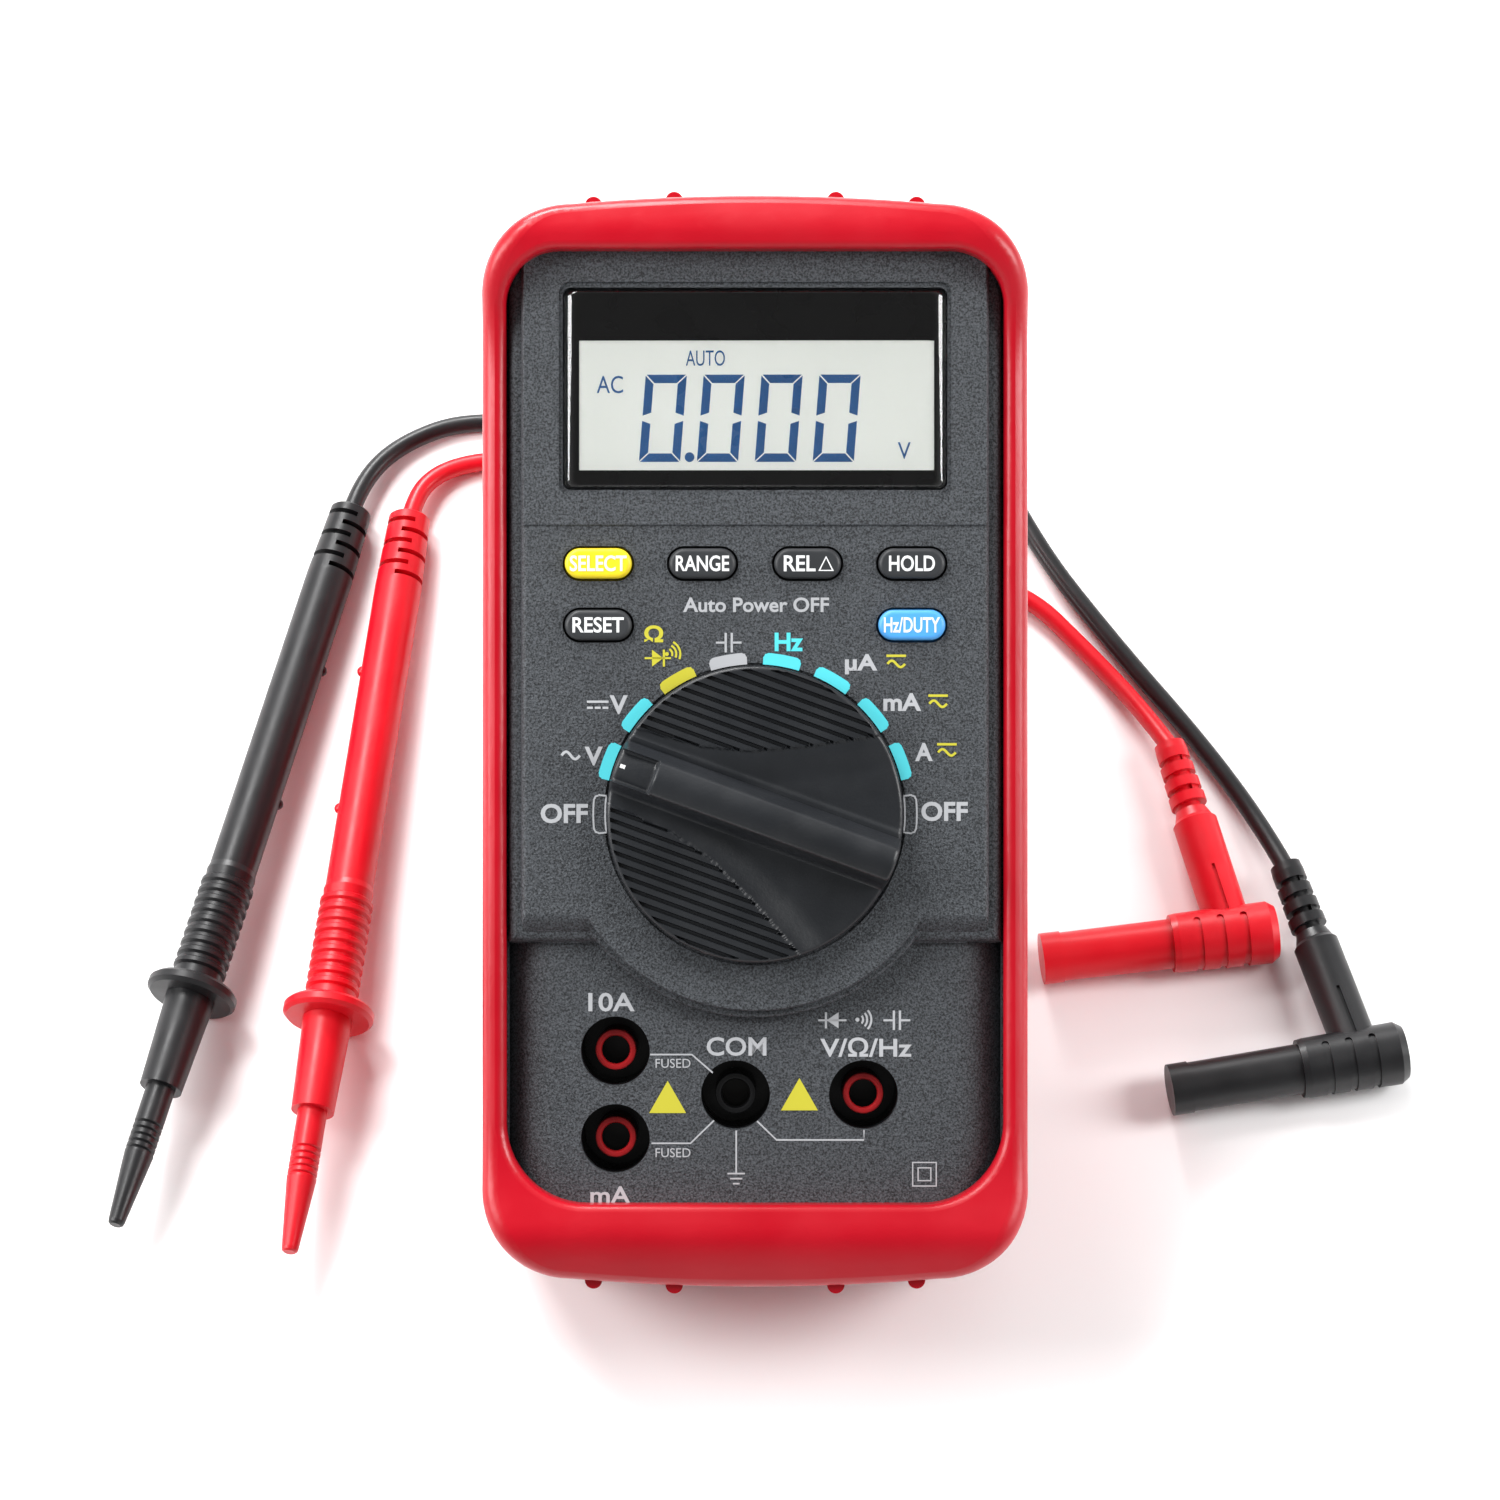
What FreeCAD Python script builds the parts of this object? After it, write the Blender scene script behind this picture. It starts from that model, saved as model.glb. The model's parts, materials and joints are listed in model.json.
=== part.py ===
import FreeCAD, Part
import math
import os

os.makedirs("parts", exist_ok=True)
V = FreeCAD.Vector

# Two frames are used. The meter is built flat in its own frame: x across the face, y up the
# face, z out of the face, with z = 0 on the back of its rubber boot. on_bench() then leans it
# back on its tilt stand. The test leads are built straight on the bench. All sizes are mm.

# ---------------------------------------------------------------- driving dimensions
TILT_DEG = 25.0            # the meter leans back on its stand by this angle
SHIFT_Y = 7.9              # centres the leaning meter on the origin

HALF_WIDTH = 40.5          # rubber boot
HALF_LENGTH = 80.8
BOOT_CORNER = 13.2         # plan radius of the corners
END_CROWN = 1.25           # how far the two ends bow outwards
BOOT_BACK = 6.5            # thickness of the back wall
BACK_EDGE_R = 3.0
RIM_R = 2.4                # rounding of the outer top edge
LIP_INNER_R = 1.4          # rounding of the lip's inner edge
LIP_UNDER = 32.6           # underside of the retaining lip
OPEN_HALF_W = 36.9         # opening the lip leaves over the face
OPEN_Y = (-68.4, 72.7)
OPEN_LOW_R = 12.0          # its corners at the bottom end
OPEN_TOP_R = 8.0           # and at the top end
BOOT_PROFILE = [(-82.5, 34.0), (-78.6, 36.2), (-73.0, 38.2), (-68.8, 37.2), (-62.0, 35.9),
                (-50.0, 35.6), (0.0, 35.6), (50.0, 35.6), (62.0, 36.4), (68.5, 39.0),
                (75.6, 41.0), (79.2, 39.8), (82.5, 37.6)]   # (y, z) of the boot's top, side view
RIB_X = (-24.0, -12.0, 12.0, 24.0)   # nubs on both end faces
RIB_Z = (8.0, 33.3)
RIB_R = 1.3
RIB_PROUD = 1.3

HINGE_Y = 17.5             # tilt stand
HINGE_Z = 2.8
STAND_OPEN_DEG = 75.0
STAND_HALF_W = 22.8
STAND_THICK = 3.0
BARREL_R = 2.4
FOOT_R = 2.0
FOOT_HALF_W = 19.0
PIN_R = 1.2
PIN_HALF = 27.0
RECESS_DEPTH = 5.4
RUN_GAP = 0.05             # radial clearance of running fits

CASE_HALF_W = 38.0         # hard case
CASE_Y = (-75.0, 76.9)
CASE_CORNER = 9.5
WALL = 2.2
FLOOR_Z = BOOT_BACK + WALL
SPLIT_Z = 20.0             # joint between rear and front case
CASE_EDGE_Z = 31.5
LOWER_HALF_W = 36.6        # lower panel, where the jacks are
LOWER_Y = (-74.0, -24.0)
LOWER_Z = 32.5
LOWER_CEIL = 30.1
SIDE_FLAT = 29.5           # the lower panel rolls down beyond this half width
SIDE_ROUND = 9.0
UPPER_Z = 36.0             # upper panel, with the selector and the keys
UPPER_CEIL = 33.6
PANEL_HALF_W = 34.65
PANEL_TOP_Y = 75.6
SHOULDER_Y = -29.8
SHOULDER_PROFILE = [(-25.4, 36.01), (-26.6, 35.6), (-28.2, 34.2), (-29.2, 33.4), (-30.4, 33.1)]
STRIP_HALF_W = 36.6        # strip of case left and right of the upper panel
STRIP_TOP_Y = 70.0
STRIP_Z = 34.3
STRIP_ROUND = 1.3
BLOCK_Y = 32.1             # display block
BLOCK_HALF_W = 34.4
BLOCK_Z = 36.3
APRON_R = (30.2, 29.2)     # round apron below the selector, in two steps
APRON_STEP_Z = 34.7
APRON_ROUND = 0.35
CASE_SCREWS = [(-31.2, -66.5), (31.2, -66.5), (-31.2, 69.0), (31.2, 69.0)]
SCREW_HOLE_R = 1.45
PILOT_R = 1.25             # hole the board's and the door's screws bite into
DOOR_T = 1.1
DOOR_SCREW = (0.0, 34.2)
DOOR_HALF_W = 29.0         # battery door, and the bay it closes
DOOR_Y = (30.5, 71.5)
BAY_HALF_W = 26.0
BAY_Y = (38.0, 69.5)
DOOR_GAP = 0.2

LCD_Y = 50.0               # display
LENS_Y = LCD_Y + 2.4       # its window stands a little higher than the glass
LENS_HALF = (28.4, 14.9)
LENS_Z = 34.1
MASK_T = 0.2
BUTTONS = {"button_select": (-23.2, 26.5), "button_range": (-7.78, 26.5), "button_relative": (7.78, 26.5),
           "button_hold": (23.2, 26.5), "button_reset": (-23.2, 17.4), "button_frequency": (23.2, 17.4)}
KEY_L = 9.9
KEY_W = 4.5
KEY_GAP = 0.35
KEY_PROUD = 1.1
KEY_TRAVEL = 0.8

KNOB_Y = -10.6             # selector
KNOB_R = 21.9
KNOB_SINK = 0.6
KNOB_TOP = 40.0
BAR_BASE = 8.6             # grip bar across the selector
BAR_TOP = 44.0
BAR_ROUND = 2.6
POINTER_DEG = 160.0        # direction the bar's pointer end faces
GROOVES = 12
GROOVE_START = 6.6
GROOVE_PITCH = 1.44
GROOVE_W = 0.7
GROOVE_DEEP = 0.6
SHAFT_R = 4.95
WIPERS = 6

JACK_PITCH = 19.05         # 3/4 in between the common jack and each of the others
COM_X = -2.9
COM_Y = -52.4
AMP_DX = 17.9              # the two current jacks stand this far left of the common jack
AMP_DY = math.sqrt(JACK_PITCH ** 2 - AMP_DX ** 2)
JACKS = {"ten_amp": (COM_X - AMP_DX, COM_Y + AMP_DY), "milliamp": (COM_X - AMP_DX, COM_Y - AMP_DY),
         "com": (COM_X, COM_Y), "volts": (COM_X + JACK_PITCH, COM_Y)}
WELL_R = 5.1
WELL_Z = 14.0              # floor of the wells
POST_R = 3.05
POST_SINK = 4.0            # posts end this far below the panel
SLEEVE_R = 2.6
BORE_R = 2.03              # takes a 4 mm plug
TAB_Z = (WELL_Z - 3.5, WELL_Z - 2.7)   # solder tabs under the sleeves

PCB_Z = 26.8               # circuit board
PCB_T = 1.6
PCB_TOP = PCB_Z + PCB_T
PCB_SCREWS = [(-29.6, 31.5), (29.6, 31.5), (-29.6, -19.0), (29.6, -19.0), (6.5, -63.0)]
FUSE_Y = (22.0, 8.0)
FUSE_R = (5.15, 3.18)      # the 10 A fuse and the smaller one
FUSE_L = (38.0, 32.0)
CLIP_X = (16.0, 13.0)      # their clips stand this far out on both sides
BATTERY_X = (-24.25, 22.2)
BATTERY_Y = 53.75
BATTERY_HALF_W = 13.25
BATTERY_T = 17.4
SNAP_DY = 6.35             # snap contacts, either side of the battery's middle

CORD_D = 3.0               # test leads
BEND_SHARE = 0.45          # part of the shorter run each bend takes up
PROBE_L = 130.5
PROBE_GUARD = 40.5
GUARD_R = 7.15
NUBS_AT = (76.0, 101.0)
BOOT_START = 117.3         # strain relief at the probe's rear
BOOT_END_R = 3.4
BOOT_SLOTS = 6
BOOT_PITCH = 2.05
SLOT_W = 0.85
GRIP_RINGS = 9
GRIP_PITCH = 1.85
TIP_R = 1.0
CAP_L = 23.6
CAP_CONE = 12.0            # the cap's cone ends here, and its rings follow
CAP_RINGS = 5
PLUG_L = 37.5
PLUG_CAP = 3.2
PLUG_CAP_R = 4.05
PLUG_SHOULDER = 20.7
PLUG_BIG_R = 4.95
SHROUD_R = 3.85
SHROUD_IN_R = 3.25
PLUG_PIN_R = 2.0
PLUG_BOOT_R = 2.45
PLUG_RINGS = 4
PLUG_RING_PITCH = 2.7
THUMB_SLOTS = (24.8, 28.5, 32.2)
THUMB_SLOT_W = 1.1
THUMB_SLOT_DEEP = 0.35
ARM_AT = 30.5              # where the arm's axis crosses the plug's axis
ARM_R = 3.6
ARM_BOOT = 20.3
ARM_L = 34.6
ARM_LEAN = 7.5
COIL_LAYERS = 4

BLACK_TIP, BLACK_REAR = (-98.2, -62.5), (-66.4, 64.1)
RED_TIP, RED_REAR = (-71.3, -66.9), (-56.8, 62.6)
BLACK_MOUTH, BLACK_PLUG_DEG = (64.8, -38.8), 9.9
RED_MOUTH, RED_PLUG_DEG = (45.3, -16.6), 7.2
BLACK_COIL = (16.0, 78.4, 16.0)    # x, y and the radius at the middle of the turns
RED_COIL = (-20.0, 57.4, 15.0)
ROUTES = {
    "black_probe_cord": [(-66.4, 64.1, 3.45), (-64.9, 70.3, 2.6), (-58.6, 77.7, 1.75), (-47.3, 82.4, 1.55),
                         (-27.0, 80.0, 1.55), (-11.0, 86.0, 1.55), (3.0, 92.3, 1.55)],
    "black_plug_cord": [(34.7, 86.0, 1.55), (45.6, 59.5, 1.55), (59.0, 39.9, 1.55), (72.0, 22.7, 1.6),
                        (81.0, 8.2, 2.4), (84.5, -0.5, 4.6)],
    "red_probe_cord": [(-56.8, 62.6, 3.45), (-55.9, 67.0, 2.9), (-53.3, 70.9, 2.3), (-49.0, 73.4, 1.8),
                       (-42.5, 74.6, 1.55), (-27.2, 73.9, 1.55)],
    "red_plug_cord": [(-5.3, 69.7, 1.55), (6.0, 57.6, 1.55), (26.0, 53.0, 1.55), (43.5, 51.0, 1.55),
                      (54.5, 38.7, 1.6), (62.8, 28.2, 2.4), (66.8, 20.7, 4.6)],
}


def box(x0, x1, y0, y1, z0, z1):
    return Part.makeBox(x1 - x0, y1 - y0, z1 - z0, V(x0, y0, z0))


def cyl(x, y, z0, z1, r):
    return Part.makeCylinder(r, z1 - z0, V(x, y, z0), V(0, 0, 1))


def cyl_x(y, z, x0, x1, r):
    return Part.makeCylinder(r, x1 - x0, V(x0, y, z), V(1, 0, 0))


def extrude(points, z0, z1):
    """Prism on a closed outline of (x, y) points joined by straight lines."""
    wire = Part.makePolygon([V(x, y, z0) for x, y in points + points[:1]])
    return Part.Face(wire).extrude(V(0, 0, z1 - z0))


def rounded(x0, x1, y0, y1, z0, z1, r, crown=0.0):
    """Prism with rounded plan corners; crown bows the two y ends outwards."""
    k = r * (1.0 - math.sqrt(0.5))
    ya, yb = y0 + crown, y1 - crown
    xm = (x0 + x1) / 2.0
    edges = []

    def line(a, b):
        edges.append(Part.makeLine(V(a[0], a[1], z0), V(b[0], b[1], z0)))

    def arc(a, m, b):
        edges.append(Part.Arc(V(a[0], a[1], z0), V(m[0], m[1], z0), V(b[0], b[1], z0)).toShape())

    line((x1, ya + r), (x1, yb - r))
    arc((x1, yb - r), (x1 - k, yb - k), (x1 - r, yb))
    if crown:
        arc((x1 - r, yb), (xm, y1), (x0 + r, yb))
    else:
        line((x1 - r, yb), (x0 + r, yb))
    arc((x0 + r, yb), (x0 + k, yb - k), (x0, yb - r))
    line((x0, yb - r), (x0, ya + r))
    arc((x0, ya + r), (x0 + k, ya + k), (x0 + r, ya))
    if crown:
        arc((x0 + r, ya), (xm, y0), (x1 - r, ya))
    else:
        line((x0 + r, ya), (x1 - r, ya))
    arc((x1 - r, ya), (x1 - k, ya + k), (x1, ya + r))
    return Part.Face(Part.Wire(edges)).extrude(V(0, 0, z1 - z0))


def edges_where(shape, test):
    return [e for e in shape.Edges if test(e.BoundBox)]


TILT = math.radians(TILT_DEG)
LIFT = BACK_EDGE_R + (HALF_LENGTH - BACK_EDGE_R) * math.sin(TILT) - BACK_EDGE_R * math.cos(TILT)


def on_bench(shape):
    """Leans a piece built in the meter's own frame back onto the bench."""
    s = shape.copy()
    s.rotate(V(0, 0, 0), V(1, 0, 0), TILT_DEG)
    s.translate(V(0, SHIFT_Y, LIFT))
    return s


def save(name, shape):
    solids = shape.Solids
    whole = solids[0] if len(solids) == 1 else Part.makeCompound(solids)
    valid = all(s.isValid() for s in solids)
    print(name, "solids", len(solids), "valid", valid, "volume %.1f" % whole.Volume)
    whole.exportStep("parts/%s.step" % name)


# ---------------------------------------------------------------- rubber boot and tilt stand
def make_holster():
    body = rounded(-HALF_WIDTH, HALF_WIDTH, -HALF_LENGTH, HALF_LENGTH, 0, 46, BOOT_CORNER, END_CROWN)
    body = body.makeFillet(BACK_EDGE_R, edges_where(body, lambda b: b.ZMax < 0.01))
    curve = Part.BSplineCurve()
    curve.interpolate([V(-60, y, z) for y, z in BOOT_PROFILE])
    first, last = V(-60, *BOOT_PROFILE[0]), V(-60, *BOOT_PROFILE[-1])
    low_a, low_b = V(-60, BOOT_PROFILE[0][0], -1), V(-60, BOOT_PROFILE[-1][0], -1)
    wire = Part.Wire([
        Part.makeLine(low_a, first), curve.toShape(), Part.makeLine(last, low_b), Part.makeLine(low_b, low_a)
    ])
    body = body.common(Part.Face(wire).extrude(V(120, 0, 0)))
    body = body.makeFillet(RIM_R, edges_where(body, lambda b: b.ZMin > 30))
    body = body.cut(rounded(-CASE_HALF_W, CASE_HALF_W, *CASE_Y, BOOT_BACK, LIP_UNDER, CASE_CORNER))
    opening = rounded(-OPEN_HALF_W, OPEN_HALF_W, OPEN_Y[0], 40, LIP_UNDER - 1, 46, OPEN_LOW_R)
    top_part = rounded(-OPEN_HALF_W, OPEN_HALF_W, -20, OPEN_Y[1], LIP_UNDER - 1, 46, OPEN_TOP_R)
    opening = opening.fuse(top_part)
    body = body.cut(opening.removeSplitter())
    inner = edges_where(body, lambda b: b.ZMin > 34 and abs(b.XMin) < 37 and abs(b.XMax) < 37
                        and b.YMin > OPEN_Y[0] - 0.5 and b.YMax < OPEN_Y[1] + 0.5)
    body = body.makeFillet(LIP_INNER_R, inner)
    body = body.cut(rounded(-BLOCK_HALF_W - 0.6, BLOCK_HALF_W + 0.6, 40, PANEL_TOP_Y + 0.3,
                            BOOT_BACK, BLOCK_Z + 0.1, 4.5))
    body = body.cut(box(-STRIP_HALF_W - 0.1, STRIP_HALF_W + 0.1, 40, STRIP_TOP_Y + 0.1,
                        BOOT_BACK, STRIP_Z + 0.1))
    for x in RIB_X:
        drop = END_CROWN * (x / (HALF_WIDTH - BOOT_CORNER)) ** 2
        for side in (-1, 1):
            y = side * (HALF_LENGTH - drop - RIB_R + RIB_PROUD)
            body = body.fuse(cyl(x, y, RIB_Z[0], RIB_Z[1], RIB_R))
    low = HINGE_Y - stand_reach() - FOOT_R - 1.5
    recess = rounded(-STAND_HALF_W - 0.6, STAND_HALF_W + 0.6, low, HINGE_Y + BARREL_R + 1.0,
                     -1, RECESS_DEPTH, 2.0)
    notch = rounded(-9, 9, low - 7, low + 4, -1, RECESS_DEPTH - 1.5, 5.0)
    body = body.cut(recess).cut(notch)
    return body.cut(cyl_x(HINGE_Y, HINGE_Z, -PIN_HALF - 0.3, PIN_HALF + 0.3, PIN_R)).removeSplitter()


def stand_reach():
    """Distance from the hinge to the foot's centre that just reaches the bench."""
    hinge_height = HINGE_Y * math.sin(TILT) + HINGE_Z * math.cos(TILT) + LIFT
    return (hinge_height - FOOT_R) / math.sin(TILT + math.radians(STAND_OPEN_DEG))


def make_stand():
    reach = stand_reach()
    foot_y = HINGE_Y - reach
    h = STAND_THICK / 2.0
    leg = extrude([(-STAND_HALF_W, HINGE_Y), (-STAND_HALF_W, HINGE_Y - 16), (-FOOT_HALF_W, foot_y),
                   (FOOT_HALF_W, foot_y), (STAND_HALF_W, HINGE_Y - 16), (STAND_HALF_W, HINGE_Y)],
                  HINGE_Z - h, HINGE_Z + h)
    window = rounded(-12.5, 12.5, foot_y + 8.5, HINGE_Y - 9, HINGE_Z - 5, HINGE_Z + 5, 4.0)
    leg = leg.cut(window)
    leg = leg.fuse(cyl_x(HINGE_Y, HINGE_Z, -STAND_HALF_W, STAND_HALF_W, BARREL_R))
    leg = leg.fuse(cyl_x(foot_y, HINGE_Z, -FOOT_HALF_W, FOOT_HALF_W, FOOT_R))
    leg = leg.cut(cyl_x(HINGE_Y, HINGE_Z, -STAND_HALF_W - 1, STAND_HALF_W + 1, PIN_R + RUN_GAP))
    leg.rotate(V(0, HINGE_Y, HINGE_Z), V(1, 0, 0), STAND_OPEN_DEG)
    return leg.removeSplitter()


# ---------------------------------------------------------------- hard case
def make_front_case():
    case = rounded(-CASE_HALF_W, CASE_HALF_W, CASE_Y[0], CASE_Y[1], SPLIT_Z, CASE_EDGE_Z, CASE_CORNER)
    case = case.makeFillet(1.6, edges_where(case, lambda b: b.ZMin > CASE_EDGE_Z - 0.01))
    case = case.fuse(rounded(-LOWER_HALF_W, LOWER_HALF_W, LOWER_Y[0], LOWER_Y[1],
                             SPLIT_Z + 2, LOWER_Z, CASE_CORNER))
    for side in (-1, 1):
        edge = side * (LOWER_HALF_W + 0.05)
        strip = box(min(side * SIDE_FLAT, edge), max(side * SIDE_FLAT, edge),
                    LOWER_Y[0], SHOULDER_Y, LOWER_Z - 6, LOWER_Z + 1)
        rod = Part.makeCylinder(SIDE_ROUND, SHOULDER_Y - LOWER_Y[0] + 2,
                                V(side * SIDE_FLAT, LOWER_Y[0] - 1, LOWER_Z - SIDE_ROUND), V(0, 1, 0))
        case = case.cut(strip.cut(rod))
    strip = box(-STRIP_HALF_W, STRIP_HALF_W, SHOULDER_Y + 0.2, STRIP_TOP_Y, SPLIT_Z + 4, STRIP_Z)
    rolled = edges_where(strip, lambda b: b.ZMin > STRIP_Z - 0.01 and b.YMin < STRIP_TOP_Y - 1)
    strip = strip.makeFillet(STRIP_ROUND, rolled)
    case = case.fuse(strip)
    upper = rounded(-PANEL_HALF_W, PANEL_HALF_W, SHOULDER_Y, PANEL_TOP_Y, SPLIT_Z + 4, UPPER_Z, 4.0)
    upper = upper.makeFillet(0.9, edges_where(upper, lambda b: b.ZMin > UPPER_Z - 0.01))
    curve = Part.BSplineCurve()
    curve.interpolate([V(-50, y, z) for y, z in SHOULDER_PROFILE])
    high, low = V(-50, *SHOULDER_PROFILE[0]), V(-50, *SHOULDER_PROFILE[-1])
    over_low, over_high = V(-50, low.y, UPPER_Z + 2), V(-50, high.y, UPPER_Z + 2)
    outline = [curve.toShape(), Part.makeLine(low, over_low), Part.makeLine(over_low, over_high),
               Part.makeLine(over_high, high)]
    upper = upper.cut(Part.Face(Part.Wire(outline)).extrude(V(100, 0, 0)))
    for r, top in zip(APRON_R, (APRON_STEP_Z, UPPER_Z)):
        apron = cyl(0, KNOB_Y, SPLIT_Z + 4, top, r)
        upper = upper.fuse(apron.makeFillet(APRON_ROUND, edges_where(apron, lambda b: b.ZMin > top - 0.01)))
    block = rounded(-BLOCK_HALF_W, BLOCK_HALF_W, BLOCK_Y, PANEL_TOP_Y - 0.3, UPPER_Z - 1, BLOCK_Z, 4.8)
    block = block.fuse(box(-BLOCK_HALF_W, BLOCK_HALF_W, BLOCK_Y, BLOCK_Y + 8, UPPER_Z - 1, BLOCK_Z))
    block = block.removeSplitter()
    block = block.makeFillet(0.25, edges_where(block, lambda b: b.ZMin > BLOCK_Z - 0.01))
    case = case.fuse(upper).fuse(block)

    case = case.cut(rounded(-CASE_HALF_W + WALL, CASE_HALF_W - WALL, CASE_Y[0] + WALL, CASE_Y[1] - WALL,
                            SPLIT_Z - 1, PCB_Z - 0.3, CASE_CORNER - WALL))
    case = case.cut(box(-28.9, 28.9, LOWER_Y[0] + WALL, SHOULDER_Y + 3, SPLIT_Z, LOWER_CEIL))
    case = case.cut(box(-PANEL_HALF_W + WALL, PANEL_HALF_W - WALL, SHOULDER_Y + WALL, PANEL_TOP_Y - WALL,
                        SPLIT_Z, UPPER_CEIL))
    case = case.cut(cyl(0, KNOB_Y, LOWER_CEIL - 2, UPPER_CEIL, APRON_R[1] - WALL))

    case = case.cut(rounded(-29.05, 29.05, LENS_Y - 15.8, LENS_Y + 15.8, BLOCK_Z - 0.5, BLOCK_Z + 1, 1.6))
    case = case.cut(rounded(-28.5, 28.5, LENS_Y - 15.0, LENS_Y + 15.0, LENS_Z - MASK_T, BLOCK_Z + 1, 1.2))
    case = case.cut(box(-27.8, 27.8, LCD_Y - 12.4, LCD_Y + 12.4, UPPER_CEIL - 1, BLOCK_Z))
    case = case.cut(cyl(0, KNOB_Y, UPPER_Z - KNOB_SINK, UPPER_Z + 1, KNOB_R + 0.5))
    case = case.cut(cyl(0, KNOB_Y, UPPER_CEIL - 1, UPPER_Z, SHAFT_R + RUN_GAP))
    for x, y in BUTTONS.values():
        case = case.cut(stadium(x, y, KEY_L + 2 * KEY_GAP, KEY_W + 2 * KEY_GAP, UPPER_CEIL - 1, UPPER_Z + 1))
    for x, y in JACKS.values():
        case = case.cut(cyl(x, y, LOWER_CEIL - 1, LOWER_Z + 1, WELL_R + 0.05))
    for x, y in PCB_SCREWS:
        ceiling = LOWER_CEIL if y < SHOULDER_Y else UPPER_CEIL
        case = case.fuse(cyl(x, y, PCB_Z + PCB_T, ceiling + 0.5, 2.4))
        case = case.cut(cyl(x, y, PCB_Z, ceiling + 0.3, PILOT_R))
    for x, y in CASE_SCREWS:
        case = case.fuse(cyl(x, y, SPLIT_Z, PCB_Z + 0.2, 3.2))
        case = case.cut(cyl(x, y, SPLIT_Z - 1, PCB_Z - 1.5, SCREW_HOLE_R))
    return case


def make_rear_case():
    case = rounded(-CASE_HALF_W, CASE_HALF_W, CASE_Y[0], CASE_Y[1], BOOT_BACK, SPLIT_Z, CASE_CORNER)
    case = case.makeFillet(1.5, edges_where(case, lambda b: b.ZMax < BOOT_BACK + 0.01))
    case = case.cut(rounded(-CASE_HALF_W + WALL, CASE_HALF_W - WALL, CASE_Y[0] + WALL, CASE_Y[1] - WALL,
                            FLOOR_Z, SPLIT_Z + 1, CASE_CORNER - WALL))
    for x, y in CASE_SCREWS:
        case = case.fuse(cyl(x, y, FLOOR_Z - 0.2, SPLIT_Z, 3.4))
        case = case.cut(cyl(x, y, BOOT_BACK - 1, SPLIT_Z + 1, SCREW_HOLE_R))
        case = case.cut(cyl(x, y, BOOT_BACK - 1, BOOT_BACK + 4.0, 2.9))
    case = case.fuse(cyl(*DOOR_SCREW, FLOOR_Z - 0.2, FLOOR_Z + 7, 3.4))
    case = case.cut(cyl(*DOOR_SCREW, BOOT_BACK, FLOOR_Z + 6, PILOT_R))
    case = case.cut(rounded(-DOOR_HALF_W, DOOR_HALF_W, *DOOR_Y, BOOT_BACK - 1, BOOT_BACK + DOOR_T, 3.0))
    return case.cut(rounded(-BAY_HALF_W, BAY_HALF_W, *BAY_Y, BOOT_BACK, FLOOR_Z + 1, 2.0))


def make_battery_door():
    plate_w, plug_w = DOOR_HALF_W - DOOR_GAP, BAY_HALF_W - DOOR_GAP
    door = rounded(-plate_w, plate_w, DOOR_Y[0] + DOOR_GAP, DOOR_Y[1] - DOOR_GAP,
                   BOOT_BACK + 0.05, BOOT_BACK + DOOR_T, 2.8)
    door = door.fuse(rounded(-plug_w, plug_w, BAY_Y[0] + DOOR_GAP, BAY_Y[1] - DOOR_GAP,
                             BOOT_BACK + DOOR_T - 0.3, FLOOR_Z, 1.8))
    return door.cut(cyl(*DOOR_SCREW, 0, FLOOR_Z, PILOT_R)).removeSplitter()


def screw(x, y, z_head, head_r, head_h, shaft_r, z_tip):
    """Pan-head screw driven upwards from the back, with a cross recess."""
    s = cyl(x, y, z_head, z_head + head_h, head_r).fuse(cyl(x, y, z_head + head_h - 0.1, z_tip, shaft_r))
    for a, b in ((0.35, head_r * 0.6), (head_r * 0.6, 0.35)):
        s = s.cut(box(x - a, x + a, y - b, y + b, z_head - 1, z_head + head_h * 0.55))
    return s.removeSplitter()


# ---------------------------------------------------------------- display and keys
def make_display():
    window = (-LENS_HALF[0], LENS_HALF[0], LENS_Y - LENS_HALF[1], LENS_Y + LENS_HALF[1])
    lens = rounded(*window, LENS_Z, LENS_Z + 2.1, 1.1)
    lens = lens.makeFillet(0.9, edges_where(lens, lambda b: b.ZMin > LENS_Z + 2.0))
    save("display_lens", on_bench(lens))
    mask = rounded(*window, LENS_Z - MASK_T, LENS_Z, 1.1)
    mask = mask.cut(box(-26.05, 26.45, LCD_Y - 9.6, LCD_Y + 9.6, LENS_Z - 1, LENS_Z + 1))
    save("display_mask", on_bench(mask))
    glass = box(-27.4, 27.4, LCD_Y - 12, LCD_Y + 12, LENS_Z - MASK_T - 2.2, LENS_Z - MASK_T)
    save("lcd_glass", on_bench(glass))
    frame = rounded(-30, 30, LCD_Y - 14.5, LCD_Y + 14.5, PCB_TOP, UPPER_CEIL - 0.1, 1.5)
    frame = frame.cut(box(-27.5, 27.5, LCD_Y - 12.1, LCD_Y + 12.1, LENS_Z - MASK_T - 2.3, UPPER_CEIL + 1))
    frame = frame.cut(box(-26, 26, LCD_Y - 11, LCD_Y + 11, PCB_TOP - 1, UPPER_CEIL))
    save("lcd_frame", on_bench(frame))
    strips = [box(-25.5, 25.5, LCD_Y + s * 9.6 - 1.1, LCD_Y + s * 9.6 + 1.1, PCB_TOP, LENS_Z - MASK_T - 2.2)
              for s in (-1, 1)]
    save("zebra_strips", on_bench(Part.makeCompound(strips)))


def stadium(x, y, length, width, z0, z1):
    r = width / 2.0
    half = length / 2.0 - r
    s = box(x - half, x + half, y - r, y + r, z0, z1)
    return s.fuse(cyl(x - half, y, z0, z1, r)).fuse(cyl(x + half, y, z0, z1, r)).removeSplitter()


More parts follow.
